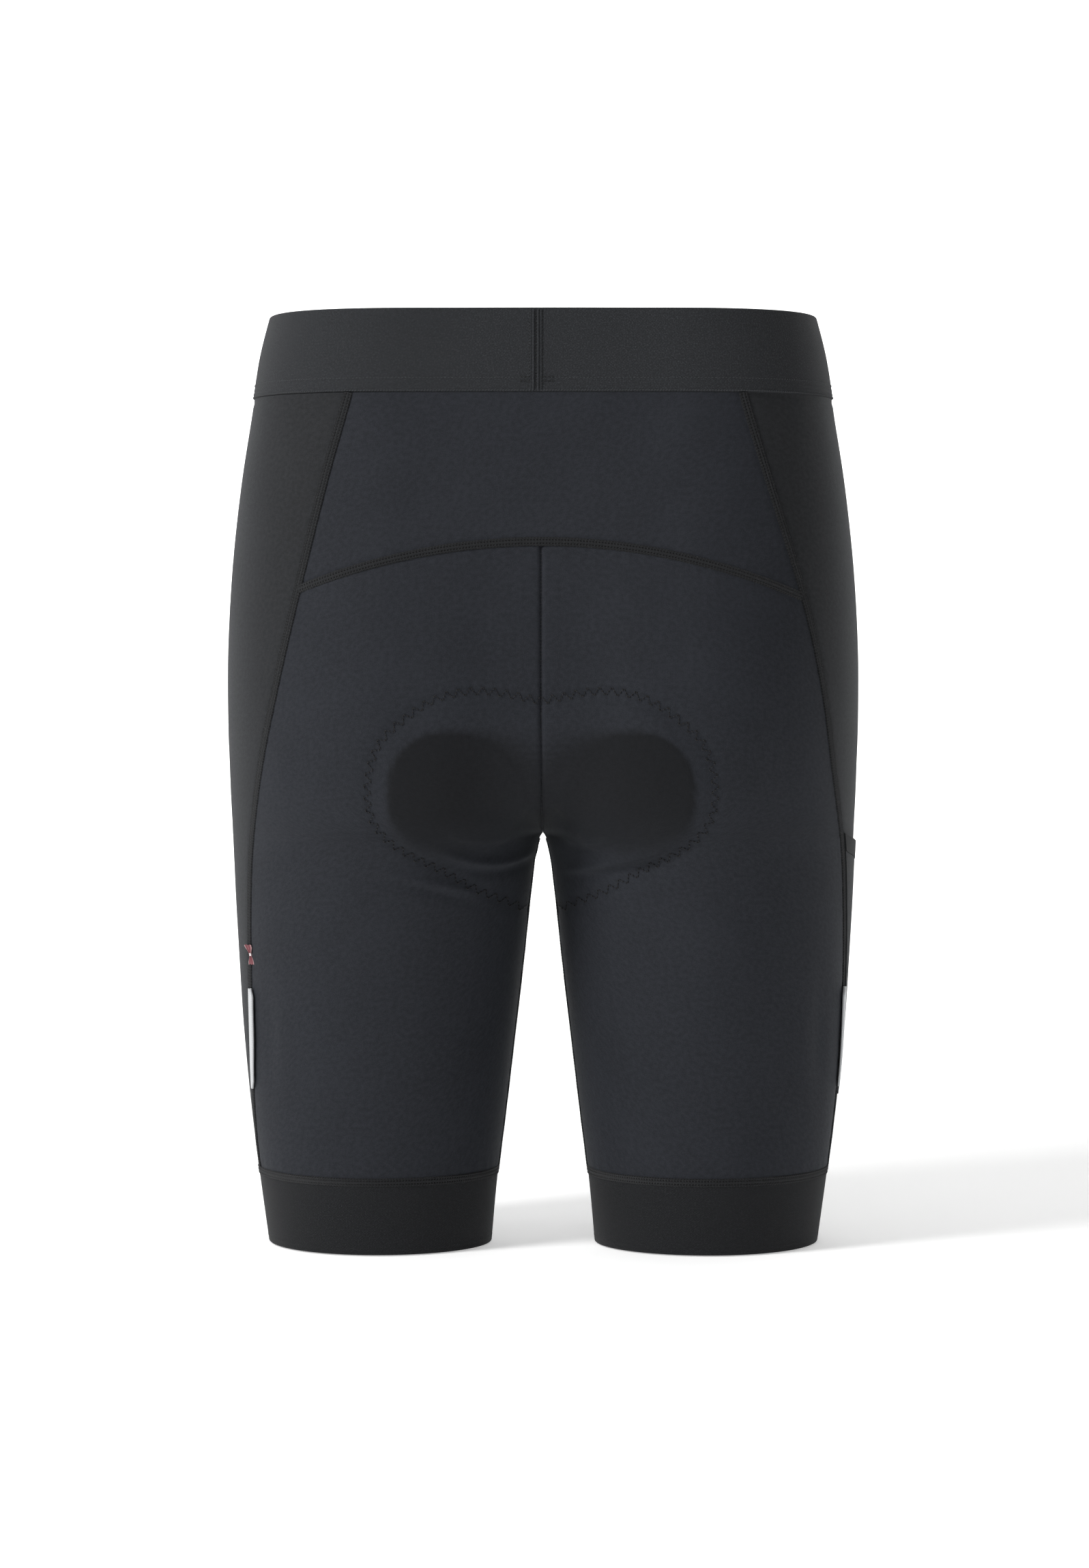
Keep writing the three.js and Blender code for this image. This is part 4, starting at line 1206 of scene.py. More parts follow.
@dataclass(frozen=True)
class Panels:
    """The seven panels between the waistband and the leg bands."""

    wall: float = 1.5
    half_gap: float = 0.15
    waist_seam: float = -22.5
    hem_seam: float = -450.0
    groove: float = 1.15
    groove_width: float = 1.0
    pull: float = 0.3
    pull_place: tuple[float, float] = (2.4, 1.1)
    hollow: float = 0.25
    hollow_width: float = 4
    pucker: float = 0.1
    pucker_place: tuple[float, float] = (5.5, 3.4)
    pucker_length: float = 9.0
    stitch_groove: float = 0.5
    stitch_width: float = 3.0
    zigzag: float = 6.3
    zigzag_pucker: float = 0.13
    zigzag_place: tuple[float, float] = (3.4, 2)
    edge_steps: tuple[float, ...] = (0, 0.35, 0.8, 1.5, 2.5, 4.0)
    fine_step: float = 2.0
    coarse_step: float = 2.6
    yoke_step: float = 2.2
    seat_column: float = 1.9
    seat_width: float = 175
    side_width: float = 130
    front_width: float = 150
    yoke_half_width: float = 120
    yoke_height: float = 88
    first_row: float = 1.0
    top_gap: float = 0.3
    upper_row: int = 6
    upper_length: float = 40
    zones: tuple[tuple[float, float | None, float], ...] = (
        (6, 7, 25), (7, 10.6, 84), (10.6, 14, 60), (14, None, 122),
    )
    seat_cut: Cut = Cut(0.229, 0.418, 0.0632)
    side_cut: Cut = Cut(0.222, 0.441, 0.0643)
    front_cut: Cut = Cut(0.192, 0.488, 0.0597)
    yoke_cut: Cut = Cut(0.266, 0.111, 0.0201)

    def shares(self, width: float, step: float, close: tuple[bool, bool]) -> Array:
        """Shares of a width, closer together at its edges.

        Args:
            width: About how wide the panel is.
            step: Distance between two columns in its middle.
            close: Whether columns crowd at the first and at the last edge.

        Returns:
            Shares from 0 to 1.
        """
        edge = np.array(self.edge_steps) / width
        start = edge if close[0] else np.array([0.0])
        end = 1 - edge[::-1] if close[1] else np.array([1.0])
        between = np.linspace(start[-1], end[0], max(2, round(width / step)))[1:-1]
        return np.concatenate([start, between, end])

    def rows(self, body: Body, top: Array, step: float) -> Array:
        """Rows of a long panel, from each column's top row to the leg band.

        Each zone has its first row, its last row and about its length; the last one ends at the band.

        Args:
            body: The body.
            top: Top row of each column.
            step: About how far apart the rows are.

        Returns:
            Rows by columns.
        """
        bottom = float(body.form.row_at(np.array(self.hem_seam + self.half_gap)))
        parts = [np.linspace(first, last or bottom, max(3, round(length / step)), endpoint=False)
                 for first, last, length in self.zones]
        fixed = np.concatenate([*parts, [bottom]])
        above = (self.upper_row - float(np.min(top))) * self.upper_length / step
        upper = np.linspace(0, 1, max(3, round(above)), endpoint=False)[:, None]
        lower = np.broadcast_to(fixed[:, None], (len(fixed), len(top)))
        return np.concatenate([top + (self.upper_row - top) * upper, lower])

    def seam_pull(self, away: Array, along: Array) -> Array:
        """Dip of the cloth beside a flat seam, a little uneven along it.

        Args:
            away: Distance from the seam.
            along: Distance along the seam.

        Returns:
            Height of the cloth there.
        """
        turn = math.tau * along / self.pucker_length
        uneven = np.sin(turn) + 0.6 * np.sin(turn / 0.62 + 1)
        pull_at, pull_width = self.pull_place
        pucker_at, pucker_width = self.pucker_place
        puckers = self.pucker * uneven * bell(away - pucker_at, pucker_width)
        return -self.pull * bell(away - pull_at, pull_width) + puckers

    def build_panel(self, body: Body, name: str, side: int, across: Array, row: Array,
                    plain: tuple[bool, bool], marks: bool = False) -> bpy.types.Object:
        """Builds one panel from a grid of places.

        Args:
            body: The body.
            name: Name of the piece.
            side: Its half of the body.
            across: How far round each place is.
            row: The row of each place.
            plain: Whether the first and the last column end in a plain seam above the crotch.
            marks: Whether the places carry the pad's lobe tone and the painted shade at the crotch pinch as
                marks, and get the zigzag stitching's groove and puckers.

        Returns:
            The panel.
        """
        spots = body.places(across, row, side)
        around, down = lengths(spots.point, 1), lengths(spots.point, 0)
        to_first, to_last = around, around[:, -1:] - around
        above = row < body.form.crotch_row
        lift = np.zeros_like(around)
        for is_plain, away in zip(plain, (to_first, to_last)):
            flat = self.seam_pull(away, down)
            hollow = self.hollow * bell(away, self.hollow_width)
            sunk = -self.groove * bell(away, self.groove_width) - hollow
            lift = lift + np.where(above & is_plain, sunk, flat)
        lift = lift + self.seam_pull(down, around) + self.seam_pull(down[-1:] - down, around)
        found = {}
        if marks:
            x, z = np.abs(spots.point[..., 0]), spots.point[..., 2]
            away, along = PadStitching().away(x, z)
            puckers = np.sin(math.tau * along / self.zigzag) * self.zigzag_pucker
            pucker_at, pucker_width = self.zigzag_place
            lift = lift - self.stitch_groove * bell(away, self.stitch_width)
            lift = lift + puckers * bell(np.abs(away) - pucker_at, pucker_width)
            found["lobe"] = body.relief.lobe_tone(x, z)
            # Painted shade: the crotch pinch darkened in the colour, for the shadow in its fold.
            found["shade"] = bell(x, 10) * bell(z + 254, 9)
        outer, inner = spots.out(lift), spots.out(lift - self.wall)
        clear = np.where(above, side * self.half_gap, 0)[..., None] * np.array([1, 0, 0])
        for face in (outer, inner):
            limit = np.maximum if side > 0 else np.minimum
            face[..., 0] = np.where(clear[..., 0] != 0, limit(face[..., 0], clear[..., 0]), face[..., 0])
        cloth = np.stack([around, down], -1)
        if side < 0:
            outer, inner, cloth = outer[:, ::-1], inner[:, ::-1], cloth[:, ::-1]
            found = {mark: value[:, ::-1] for mark, value in found.items()}
        return Grid.wall(outer, inner, cloth, marks=found).mesh(name)

    def middle(self, body: Body, row: Array, front: bool) -> Array:
        """Edge of a panel on the middle line, or a little beside the inseam below the crotch.

        Args:
            body: The body.
            row: Row of each place.
            front: Whether the edge is that of a front panel.

        Returns:
            How far round the edge lies at each row.
        """
        beside = body.form.beside(np.zeros_like(row), row, self.half_gap)
        inseam = np.where(row < body.form.crotch_row, 0, beside)
        return 4 - inseam if front else inseam

    def seat(self, body: Body, label: str, side: int) -> bpy.types.Object:
        """Seat and back leg of one side.

        Args:
            body: The body.
            label: Name of the half.
            side: The half, 1 for the right and -1 for the left.

        Returns:
            The panel.
        """
        shares = self.shares(self.seat_width, self.seat_column, (True, True))

        def across(row: Array) -> Array:
            """How far round each column lies.

            Args:
                row: Row of each place.

            Returns:
                How far round each place lies.
            """
            start = self.middle(body, row, False)
            seam = body.back_seam(row, side)
            return start + (body.form.beside(seam, row, -self.half_gap) - start) * shares

        low, high = (np.full(len(shares), float(r)) for r in (self.first_row, self.upper_row))
        top = body.row_where(across, lambda x: body.yoke_height(x) - self.half_gap, low, high)
        row = self.rows(body, top, self.fine_step)
        name = f"seat_cloth_{label}"
        return self.build_panel(body, name, side, across(row), row, (True, False), marks=True)

    def strip(self, body: Body, name: str, side: int, width: float,
              edges: Callable[[Array], tuple[Array, Array]], plain: tuple[bool, bool]) -> bpy.types.Object:
        """Panel from the waist to the leg band.

        Args:
            body: The body.
            name: Name of the piece.
            side: Its half of the body.
            width: About how wide it is.
            edges: Its two edges at given rows.
            plain: Whether each edge ends in a plain seam above the crotch.

        Returns:
            The panel.
        """
        shares = self.shares(width, self.coarse_step, (True, True))
        row = self.rows(body, np.full(len(shares), self.top_row(body)), self.coarse_step)
        start, end = edges(row)
        return self.build_panel(body, name, side, start + (end - start) * shares, row, plain)

    def top_row(self, body: Body) -> float:
        """Row where the panels start under the waistband."""
        return float(body.form.row_at(np.array(self.waist_seam - self.top_gap)))

    def side(self, body: Body, label: str, side: int) -> bpy.types.Object:
        """Side panel, from the waist to the leg band.

        Args:
            body: The body.
            label: Name of the half.
            side: The half, 1 for the right and -1 for the left.

        Returns:
            The panel.
        """

        def edges(row: Array) -> tuple[Array, Array]:
            """Its edges beside the back and the front side seam."""
            return (body.form.beside(body.back_seam(row, side), row, self.half_gap),
                    body.form.beside(body.front_seam_at(row), row, -self.half_gap))

        return self.strip(body, f"side_cloth_{label}", side, self.side_width, edges, (False, False))

    def front(self, body: Body, label: str, side: int) -> bpy.types.Object:
        """Front panel, from the waist to the leg band.

        Args:
            body: The body.
            label: Name of the half.
            side: The half, 1 for the right and -1 for the left.

        Returns:
            The panel.
        """

        def edges(row: Array) -> tuple[Array, Array]:
            """Its edges beside the front side seam and at the middle."""
            return (body.form.beside(body.front_seam_at(row), row, self.half_gap),
                    self.middle(body, row, True))

        return self.strip(body, f"front_cloth_{label}", side, self.front_width, edges, (False, True))

    def yoke(self, body: Body) -> bpy.types.Object:
        """Back yoke, over both halves.

        Args:
            body: The body.

        Returns:
            The panel.
        """
        half = 1 - self.shares(self.yoke_half_width, self.yoke_step, (True, False))[::-1]
        shares = np.concatenate([-half[::-1], half[1:]])
        side = np.where(shares < 0, -1, 1)
        size = np.abs(shares)

        def across(row: Array) -> Array:
            """How far round each column lies."""
            seam = np.where(side > 0, body.back_seam(row, 1), body.back_seam(row, -1))
            return body.form.beside(seam, row, -self.half_gap) * size

        top = self.top_row(body)
        low, high = (np.full(len(shares), float(r)) for r in (self.first_row, self.upper_row))
        bottom = body.row_where(across, lambda x: body.yoke_height(x) + self.half_gap, low, high)
        t = self.shares(self.yoke_height, self.yoke_step, (True, True))[:, None]
        row = top + (bottom - top) * t
        spots = body.places(across(row), row, side)
        around, down = lengths(spots.point, 1), lengths(spots.point, 0)
        lift = self.seam_pull(around, down) + self.seam_pull(around[:, -1:] - around, down)
        lift = lift + self.seam_pull(down[-1:] - down, around)
        cloth = np.stack([around, down], -1)
        return Grid.wall(spots.out(lift), spots.out(lift - self.wall), cloth).mesh("yoke_cloth")

    def build(self, body: Body, finishes: Finishes) -> None:
        """Makes and dresses all panels.

        Args:
            body: The body.
            finishes: The finishes.
        """
        yoke = dress(self.yoke(body), finishes.main_knit, "main_knit", "back_yoke")
        self.yoke_cut.declare(yoke, "stretched", ["waistband_elastic"])
        for label, side in SIDES.items():
            seat = dress(self.seat(body, label, side), finishes.seat_knit, "main_knit", f"seat_{label}")
            self.seat_cut.declare(seat, "stretched", ["yoke_cloth"])
            flank = dress(self.side(body, label, side), finishes.side_knit, "side_knit", f"side_{label}")
            self.side_cut.declare(flank, "stretched", ["waistband_elastic"])
            front = dress(self.front(body, label, side), finishes.main_knit, "main_knit", f"front_{label}")
            self.front_cut.declare(front, "stretched", ["waistband_elastic"])


@dataclass(frozen=True)
class Profile:
    """Cross section of a band: how far down it each point is and how far out."""

    down: Array
    out: Array

    @classmethod
    def band(cls, height: float, proud: float, wall: float,
             ridges: Sequence[tuple[float, float, float]]) -> "Profile":
        """Section of a band with rounded edges.

        Args:
            height: Height of the band.
            proud: How far its outer face stands out from the body's surface.
            wall: Its thickness.
            ridges: Place, height and width of ridges on its outer face.

        Returns:
            The section, down the outer face and up the inner one.
        """
        bend = wall / 2
        round_it = np.linspace(0, np.pi, 9)[1:-1]
        plain = [np.arange(bend, height - bend, 2.4), [height - bend]]
        fine = [place + np.linspace(-2, 2, 7) * width for place, _, width in ridges]
        marks = np.unique(np.concatenate(plain + fine))
        marks = marks[(marks >= bend) & (marks <= height - bend)]
        outer = proud + sum(rise * bell(marks - place, width) for place, rise, width in ridges)
        inner = np.linspace(height - bend, bend, 12)
        over, out_by = bend * np.sin(round_it), bend * np.cos(round_it)
        down = np.concatenate([marks, height - bend + over, inner, bend - over])
        out = np.concatenate([outer, proud - bend + out_by, np.full(12, proud - wall), proud - bend - out_by])
        return cls(down, out)


@dataclass(frozen=True)
class Band:
    """Band that goes all round the body or round one leg."""

    top: float
    bottom: float
    proud: float
    wall: float
    columns: int
    ridges: tuple[tuple[float, float, float], ...] = ()

    def build(self, body: Body, name: str, sides: Sequence[int]) -> bpy.types.Object:
        """Makes the band.

        Args:
            body: The body.
            name: Name of the piece.
            sides: The halves that it goes round.

        Returns:
            The band.
        """
        section = Profile.band(self.top - self.bottom, self.proud, self.wall, self.ridges)
        if len(sides) == 2:
            half = np.linspace(0, 4, self.columns // 2 + 1)
            across = np.concatenate([half[::-1][:-1], half[:-1]])
            side = np.where(np.arange(len(across)) < self.columns // 2, -1, 1)
        else:
            across = np.linspace(0, 4, self.columns, endpoint=False)
            across, side = (across, 1) if sides[0] > 0 else (4 - across, -1)
        row = body.form.row_at(self.top - section.down)[:, None]
        across, row, side = np.broadcast_arrays(across, row, side)
        spots = body.places(across, row, side, folded=False)
        around = np.broadcast_to(lengths(spots.point[:1], 1), row.shape)
        cloth = np.stack([around, np.broadcast_to(section.down[:, None], row.shape)], -1)
        return Grid(spots.out(section.out[:, None]), cloth, closed_columns=True).mesh(name)


@dataclass(frozen=True)
class Stitch:
    """One visible length of thread, as a small arched bead."""

    radius: float = 0.22
    sides: int = 6
    arch: float = 0.8
    rings: tuple[tuple[float, float, float], ...] = ((0.12, 0.7, 0.1), (0.5, 1.0, 1.0), (0.88, 0.7, 0.1))
    turn: float = 0.25

    def sew(self, name: str, start: Array, end: Array, normal: Array) -> bpy.types.Object:
        """Makes a row of stitches as one piece.

        Args:
            name: Name of the piece.
            start: Where each stitch leaves the cloth.
            end: Where each stitch goes back in.
            normal: Outward direction of the cloth at each stitch.

        Returns:
            The stitches.
        """
        along = unit(end - start)
        up = unit(normal - along * np.sum(normal * along, -1, keepdims=True))
        over = np.cross(along, up)
        angle = np.arange(self.sides) * math.tau / self.sides
        rings = []
        for t, size, height in self.rings:
            centre = start + (end - start) * t + up * (self.radius * self.arch * height)
            ring = [centre + self.radius * size * (np.cos(a) * over + np.sin(a) * up) for a in angle]
            rings.append(np.stack(ring, 1))
        tips = [(start - up * self.radius * 0.5)[:, None], (end - up * self.radius * 0.5)[:, None]]
        points = np.concatenate([tips[0], *rings, tips[1]], 1)
        n, count = self.sides, points.shape[1]
        faces, spots = [], []
        for s in range(n):
            near, after = 1 + s, 1 + (s + 1) % n
            faces.append([0, after, near])
            faces += [[near + k, after + k, after + k + n, near + k + n] for k in (0, n)]
            faces.append([count - 1, near + 2 * n, after + 2 * n])
            a, b = self.turn * s, self.turn * (s + 1)
            spots += [(0, a), (0.2, b), (0.2, a)]
            for low, high in ((0.2, 0.8), (0.8, 1.4)):
                spots += [(low, a), (low, b), (high, b), (high, a)]
            spots += [(1.6, a), (1.4, a), (1.4, b)]
        total = len(points)
        polygons = [[v + k * count for v in face] for k in range(total) for face in faces]
        return new_object(name, points.reshape(-1, 3), polygons, np.tile(np.array(spots), (total, 1)), 80)


@dataclass
class Line:
    """Line sewn on the cloth: its points, outward directions and the length along it."""

    places: Places
    closed: bool = False
    look: float = 0.8

    @property
    def length(self) -> Array:
        """Length from the start to each point."""
        return lengths(self.places.point, 0)

    def at(self, along: Array) -> Places:
        """Points at given lengths along the line.

        Args:
            along: Distances along the line.

        Returns:
            The points there, with their outward directions.
        """
        known = self.length
        point = np.stack([np.interp(along, known, self.places.point[:, k]) for k in range(3)], -1)
        normal = unit(np.stack([np.interp(along, known, self.places.normal[:, k]) for k in range(3)], -1))
        return Places(point, normal)

    def frame(self, along: Array) -> tuple[Places, Array]:
        """Points at given lengths, and the direction to the left of the line there.

        Args:
            along: Distances along the line.

        Returns:
            The points there and the way to the left of each.
        """
        total = self.length[-1]
        before, after = along - self.look, along + self.look
        if self.closed:
            before, after = before % total, after % total
        ahead = unit(self.at(np.clip(after, 0, total)).point - self.at(np.clip(before, 0, total)).point)
        spots = self.at(along)
        return spots, unit(np.cross(spots.normal, ahead))

    def stitches(self, name: str, offset: float, pitch: float, size: float, stitch: Stitch,
                 slant: float = 0.0, height: float = 0.0) -> bpy.types.Object:
        """Sews a row of stitches beside the line.

        Args:
            name: Name of the piece.
            offset: How far to the left of the line the row lies.
            pitch: Distance from stitch to stitch.
            size: Length of a stitch.
            stitch: Its thread.
            slant: How far each stitch leans to the left over its length.
            height: How far out from the cloth the row lies.

        Returns:
            The row of stitches.
        """
        count = int(self.length[-1] / pitch)
        middle = (np.arange(count) + 0.5) * self.length[-1] / count
        ends = []
        for way in (-0.5, 0.5):
            spots, left = self.frame(middle + way * size)
            ends.append(spots.out(height) + left * (offset + way * slant))
        return stitch.sew(name, ends[0], ends[1], self.at(middle).normal)


@dataclass(frozen=True)
class FlatSeam:
    """Flat seam: two butted edges under a band of cover threads."""

    width: float = 4.7
    height: float = 0.42
    ridge: float = 0.2
    ridge_width: float = 0.5
    row_offset: float = 0.95
    pitch: float = 1.65
    sunk: float = 0.35
    step: float = 0.42
    half_section: tuple[float, ...] = (0.12, 0.27, 0.4, 0.52, 0.7, 0.86, 0.96, 1.0)
    hole_depth: float = 0.34
    hole_width: float = 0.42

    def lay(self, line: Line, name: str, step: float | None = None) -> bpy.types.Object:
        """Lays the band of threads along a line.

        Args:
            line: The seam's middle line.
            name: Name of the piece.
            step: Distance between two cross sections.

        Returns:
            The band.
        """
        total = line.length[-1]
        count = int(total / (step or self.step))
        along = np.linspace(0, total, count, endpoint=not line.closed)
        spots, left = line.frame(along)
        half = self.width / 2
        shares = np.array(self.half_section)
        w = half * np.concatenate([-shares[::-1], [0], shares])
        edge = smooth(half - np.abs(w), 0, 0.5)
        apart = 2 * self.row_offset
        ridges = sum(bell(w - place, self.ridge_width) for place in (-apart, 0, apart))
        phase = math.tau * along[None, :] / self.pitch
        bead = np.cos(phase + np.sign(w)[:, None] * 0.6)
        hole = bell(np.abs(w) - self.row_offset, self.hole_width)[:, None] * (0.5 + 0.5 * np.cos(phase))
        beads = (self.ridge * ridges)[:, None] * (1 + 0.3 * bead)
        out = edge[:, None] * (self.height + beads - self.hole_depth * hole)
        out = out + 0.03 * np.sin(along / 3.1)[None, :]
        top = spots.point + spots.normal * out[..., None] + left * w[:, None, None]
        under = [spots.point - spots.normal * self.sunk + left * (half * side) for side in (1, -1)]
        points = np.concatenate([top, np.stack(under)])
        cloth_w = np.concatenate([w, [half, -half]])
        cloth = np.stack(np.broadcast_arrays(along[None, :], cloth_w[:, None]), -1)
        return Grid(points, cloth, closed_columns=line.closed).mesh(name, 75)


@dataclass(frozen=True)
class Seams:
    """All flat and plain seams of the trousers."""

    flat: FlatSeam = FlatSeam()
    top: float = -22.6
    bottom: float = -450.0
    inseam_top_row: float = 10.9
    cross_pitch: float = 1.9
    cross_size: float = 0.9
    cross_depth: float = 0.75
    yoke_row: float = 3.72
    plain_end_row: float = 8.6
    yoke_reach: tuple[float, float] = (129.6, 139.4)
    hidden_step: float = 0.55
    edge_gap: float = 0.35

    def down(self, body: Body, across_at: Callable[[Array], Array], side: int,
             rows: tuple[float, float]) -> Line:
        """Line that runs down the cloth."""
        row = np.linspace(*rows, 700)
        return Line(body.places(across_at(row), row, side))

    def leg_ring(self, body: Body, side: int) -> Line:
        """Line round the leg where its band is joined.

        Args:
            body: The body.
            side: The half, 1 for the right and -1 for the left.

        Returns:
            The closed line.
        """
        across = np.linspace(0, 4, 481)[:-1]
        row = np.full_like(across, float(body.form.row_at(np.array(self.bottom))))
        spots = body.places(across, row, side, folded=False)
        point, normal = (np.concatenate([part, part[:1]]) for part in (spots.point, spots.normal))
        return Line(Places(point, normal), closed=True)

    def yoke_line(self, body: Body) -> Line:
        """Line under the yoke, from the left side seam to the right one.

        Args:
            body: The body.

        Returns:
            The line.
        """
        x = np.linspace(-1, 1, 321)
        side = np.where(x < 0, -1, 1)
        reach = np.where(x < 0, *self.yoke_reach) * np.abs(x)
        across, row = body.form.locate(reach, body.yoke_height(reach))
        return Line(body.places(across, row, side))

    def build(self, body: Body, finishes: Finishes) -> None:
        """Makes and dresses all seams.

        Args:
            body: The body.
            finishes: The finishes.
        """
        form = body.form
        top, bottom = (float(form.row_at(np.array(z))) for z in (self.top, self.bottom))
        made: list[bpy.types.Object] = []
        for label, side in SIDES.items():
            back = self.down(body, lambda row: body.back_seam(row, side), side, (top, bottom))
            made.append(self.flat.lay(back, f"back_side_seam_{label}"))
            front = self.down(body, body.front_seam_at, side, (top, bottom))
            made.append(self.flat.lay(front, f"front_side_seam_{label}", self.hidden_step))
            made.append(self.flat.lay(self.leg_ring(body, side), f"leg_band_seam_{label}"))
            inseam = self.down(body, np.zeros_like, side, (self.inseam_top_row, bottom))
            made.append(self.flat.lay(inseam, f"inseam_{label}", self.hidden_step))
            edge = side * (self.flat.width / 2 + self.edge_gap)
            dark = back.stitches(f"side_seam_edge_{label}", edge, 1.7, 1.0, Stitch(0.17), height=0.05)
            dress(dark, finishes.thread, "main_knit")
        made.append(self.flat.lay(self.yoke_line(body), "yoke_seam"))
        for piece in made:
            dress(piece, finishes.flat_seam, "main_knit")
        for name, middle in (("centre_back", 0.0), ("centre_front", 4.0)):
            start = self.yoke_row if middle == 0 else top
            row = np.linspace(start, self.plain_end_row, 500)
            spots = body.places(np.full_like(row, middle), row, 1)
            line = Line(Places(spots.out(-self.cross_depth), spots.normal))
            dress(self.cross_stitches(f"{name}_stitches", line), finishes.thread, "main_knit")

    def cross_stitches(self, name: str, line: Line) -> bpy.types.Object:
        """Small stitches across a line, which hold the two edges of a plain seam together.

        Args:
            name: Name of the piece.
            line: The seam.

        Returns:
            The stitches.
        """
        middle = (np.arange(int(line.length[-1] / self.cross_pitch)) + 0.5) * self.cross_pitch
        spots, left = line.frame(middle)
        half = left * self.cross_size / 2
        return Stitch(0.16).sew(name, spots.point - half, spots.point + half, spots.normal)


@dataclass(frozen=True)
class PadStitching:
    """Zigzag row that holds the pad, seen on the outside of the seat and of the front."""

    back: tuple[tuple[float, float], ...] = (
        (0, -187), (12, -184.6), (24, -182.3), (34.5, -181.7), (48, -183.4), (59, -187.4), (69, -194),
        (78, -201), (85, -208.5), (89.6, -218), (92, -228), (92.6, -238), (91.4, -247), (88, -255),
        (82, -262), (74, -268), (65, -273), (55, -278), (45, -284), (36, -289.4), (27, -294), (18, -298),
        (9, -303.5),
    )
    front: tuple[tuple[float, float], ...] = (
        (0, -196), (16, -196.2), (34, -197.2), (48, -199.6), (56, -206), (58.4, -220), (58, -238),
        (55.4, -254), (49, -268), (40, -278), (30, -288), (20, -298), (10, -304),
    )
    pitch: float = 6.3
    reach: float = 2.3
    stitches: int = 3
    fill: float = 0.72
    sunk: float = 0.22
    from_middle: float = 0.4

    def path(self, corners: Sequence[tuple[float, float]], spacing: float) -> tuple[Array, Array]:
        """Evenly spaced points on a smooth line through the corners, and the length to each.

        Args:
            corners: Corners of the line on one half.
            spacing: Distance between two points.

        Returns:
            The points, and the length to each.
        """
        rough = np.array(corners, float)
        key = np.concatenate([[0], np.cumsum(np.linalg.norm(np.diff(rough, axis=0), axis=1))])
        fine = np.linspace(0, key[-1], 1600)
        curve = np.stack([Curve(tuple(zip(key, rough[:, k])))(fine) for k in (0, 1)], -1)
        along = np.concatenate([[0], np.cumsum(np.linalg.norm(np.diff(curve, axis=0), axis=1))])
        wanted = np.linspace(0, along[-1], max(2, round(along[-1] / spacing)) + 1)
        return np.stack([np.interp(wanted, along, curve[:, k]) for k in (0, 1)], -1), wanted

    def away(self, x: Array, z: Array) -> tuple[Array, Array]:
        """Distance of places on the back from the row, and the length along it to the nearest point.

        Args:
            x: Distance from the middle.
            z: Height.

        Returns:
            Distance to the line and distance along it.
        """
        path, along = self.path(self.back, 2.0)
        tree = KDTree(len(path))
        for i, (a, b) in enumerate(path):
            tree.insert((a, b, 0), i)
        tree.balance()
        near = np.array([tree.find((a, b, 0))[1:] for a, b in zip(x.ravel(), z.ravel())])
        return near[:, 1].reshape(x.shape), along[near[:, 0].astype(int)].reshape(x.shape)

    def zigzag(self, body: Body, corners: Sequence[tuple[float, float]], side: int,
               front: bool) -> tuple[Array, Array, Array]:
        """Start, end and outward direction of each stitch.

        Args:
            body: The body.
            corners: Corners of the line on one half.
            side: The half, 1 for the right and -1 for the left.
            front: Whether it runs over the front.

        Returns:
            Start, end and outward direction of each stitch.
        """
        centre, along = self.path(corners, self.pitch / 2)
        direction = unit(np.gradient(centre, axis=0))
        outward = np.stack([-direction[:, 1], direction[:, 0]], -1)
        way = np.where(np.arange(len(centre)) % 2 == 0, 1, -1)[:, None]
        turns = centre + outward * way * self.reach
        turns[:, 0] = np.maximum(turns[:, 0], self.from_middle)
        t = np.arange(self.stitches) / self.stitches
        pad = (1 - self.fill) / 2 / self.stitches
        legs = [turns[:-1, None] + (turns[1:] - turns[:-1])[:, None] * (t + shift)[None, :, None]
                for shift in (pad, 1 / self.stitches - pad)]
        found = []
        for flat in (leg.reshape(-1, 2) for leg in legs):
            across, row = body.form.locate(flat[:, 0], flat[:, 1], front)
            found.append(body.places(across, row, side))
        return found[0].out(-self.sunk), found[1].out(-self.sunk), found[0].normal

    def build(self, body: Body, finishes: Finishes) -> None:
        """Makes and dresses the zigzag rows.

        Args:
            body: The body.
            finishes: The finishes.
        """
        for name, corners, front in (("back", self.back, False), ("front", self.front, True)):
            parts = [self.zigzag(body, corners, side, front) for side in SIDES.values()]
            start, end, normal = (np.concatenate([part[k] for part in parts]) for k in range(3))
            row = Stitch(0.34, arch=0.9).sew(f"pad_zigzag_{name}", start, end, normal)
            dress(row, finishes.thread, "main_knit")


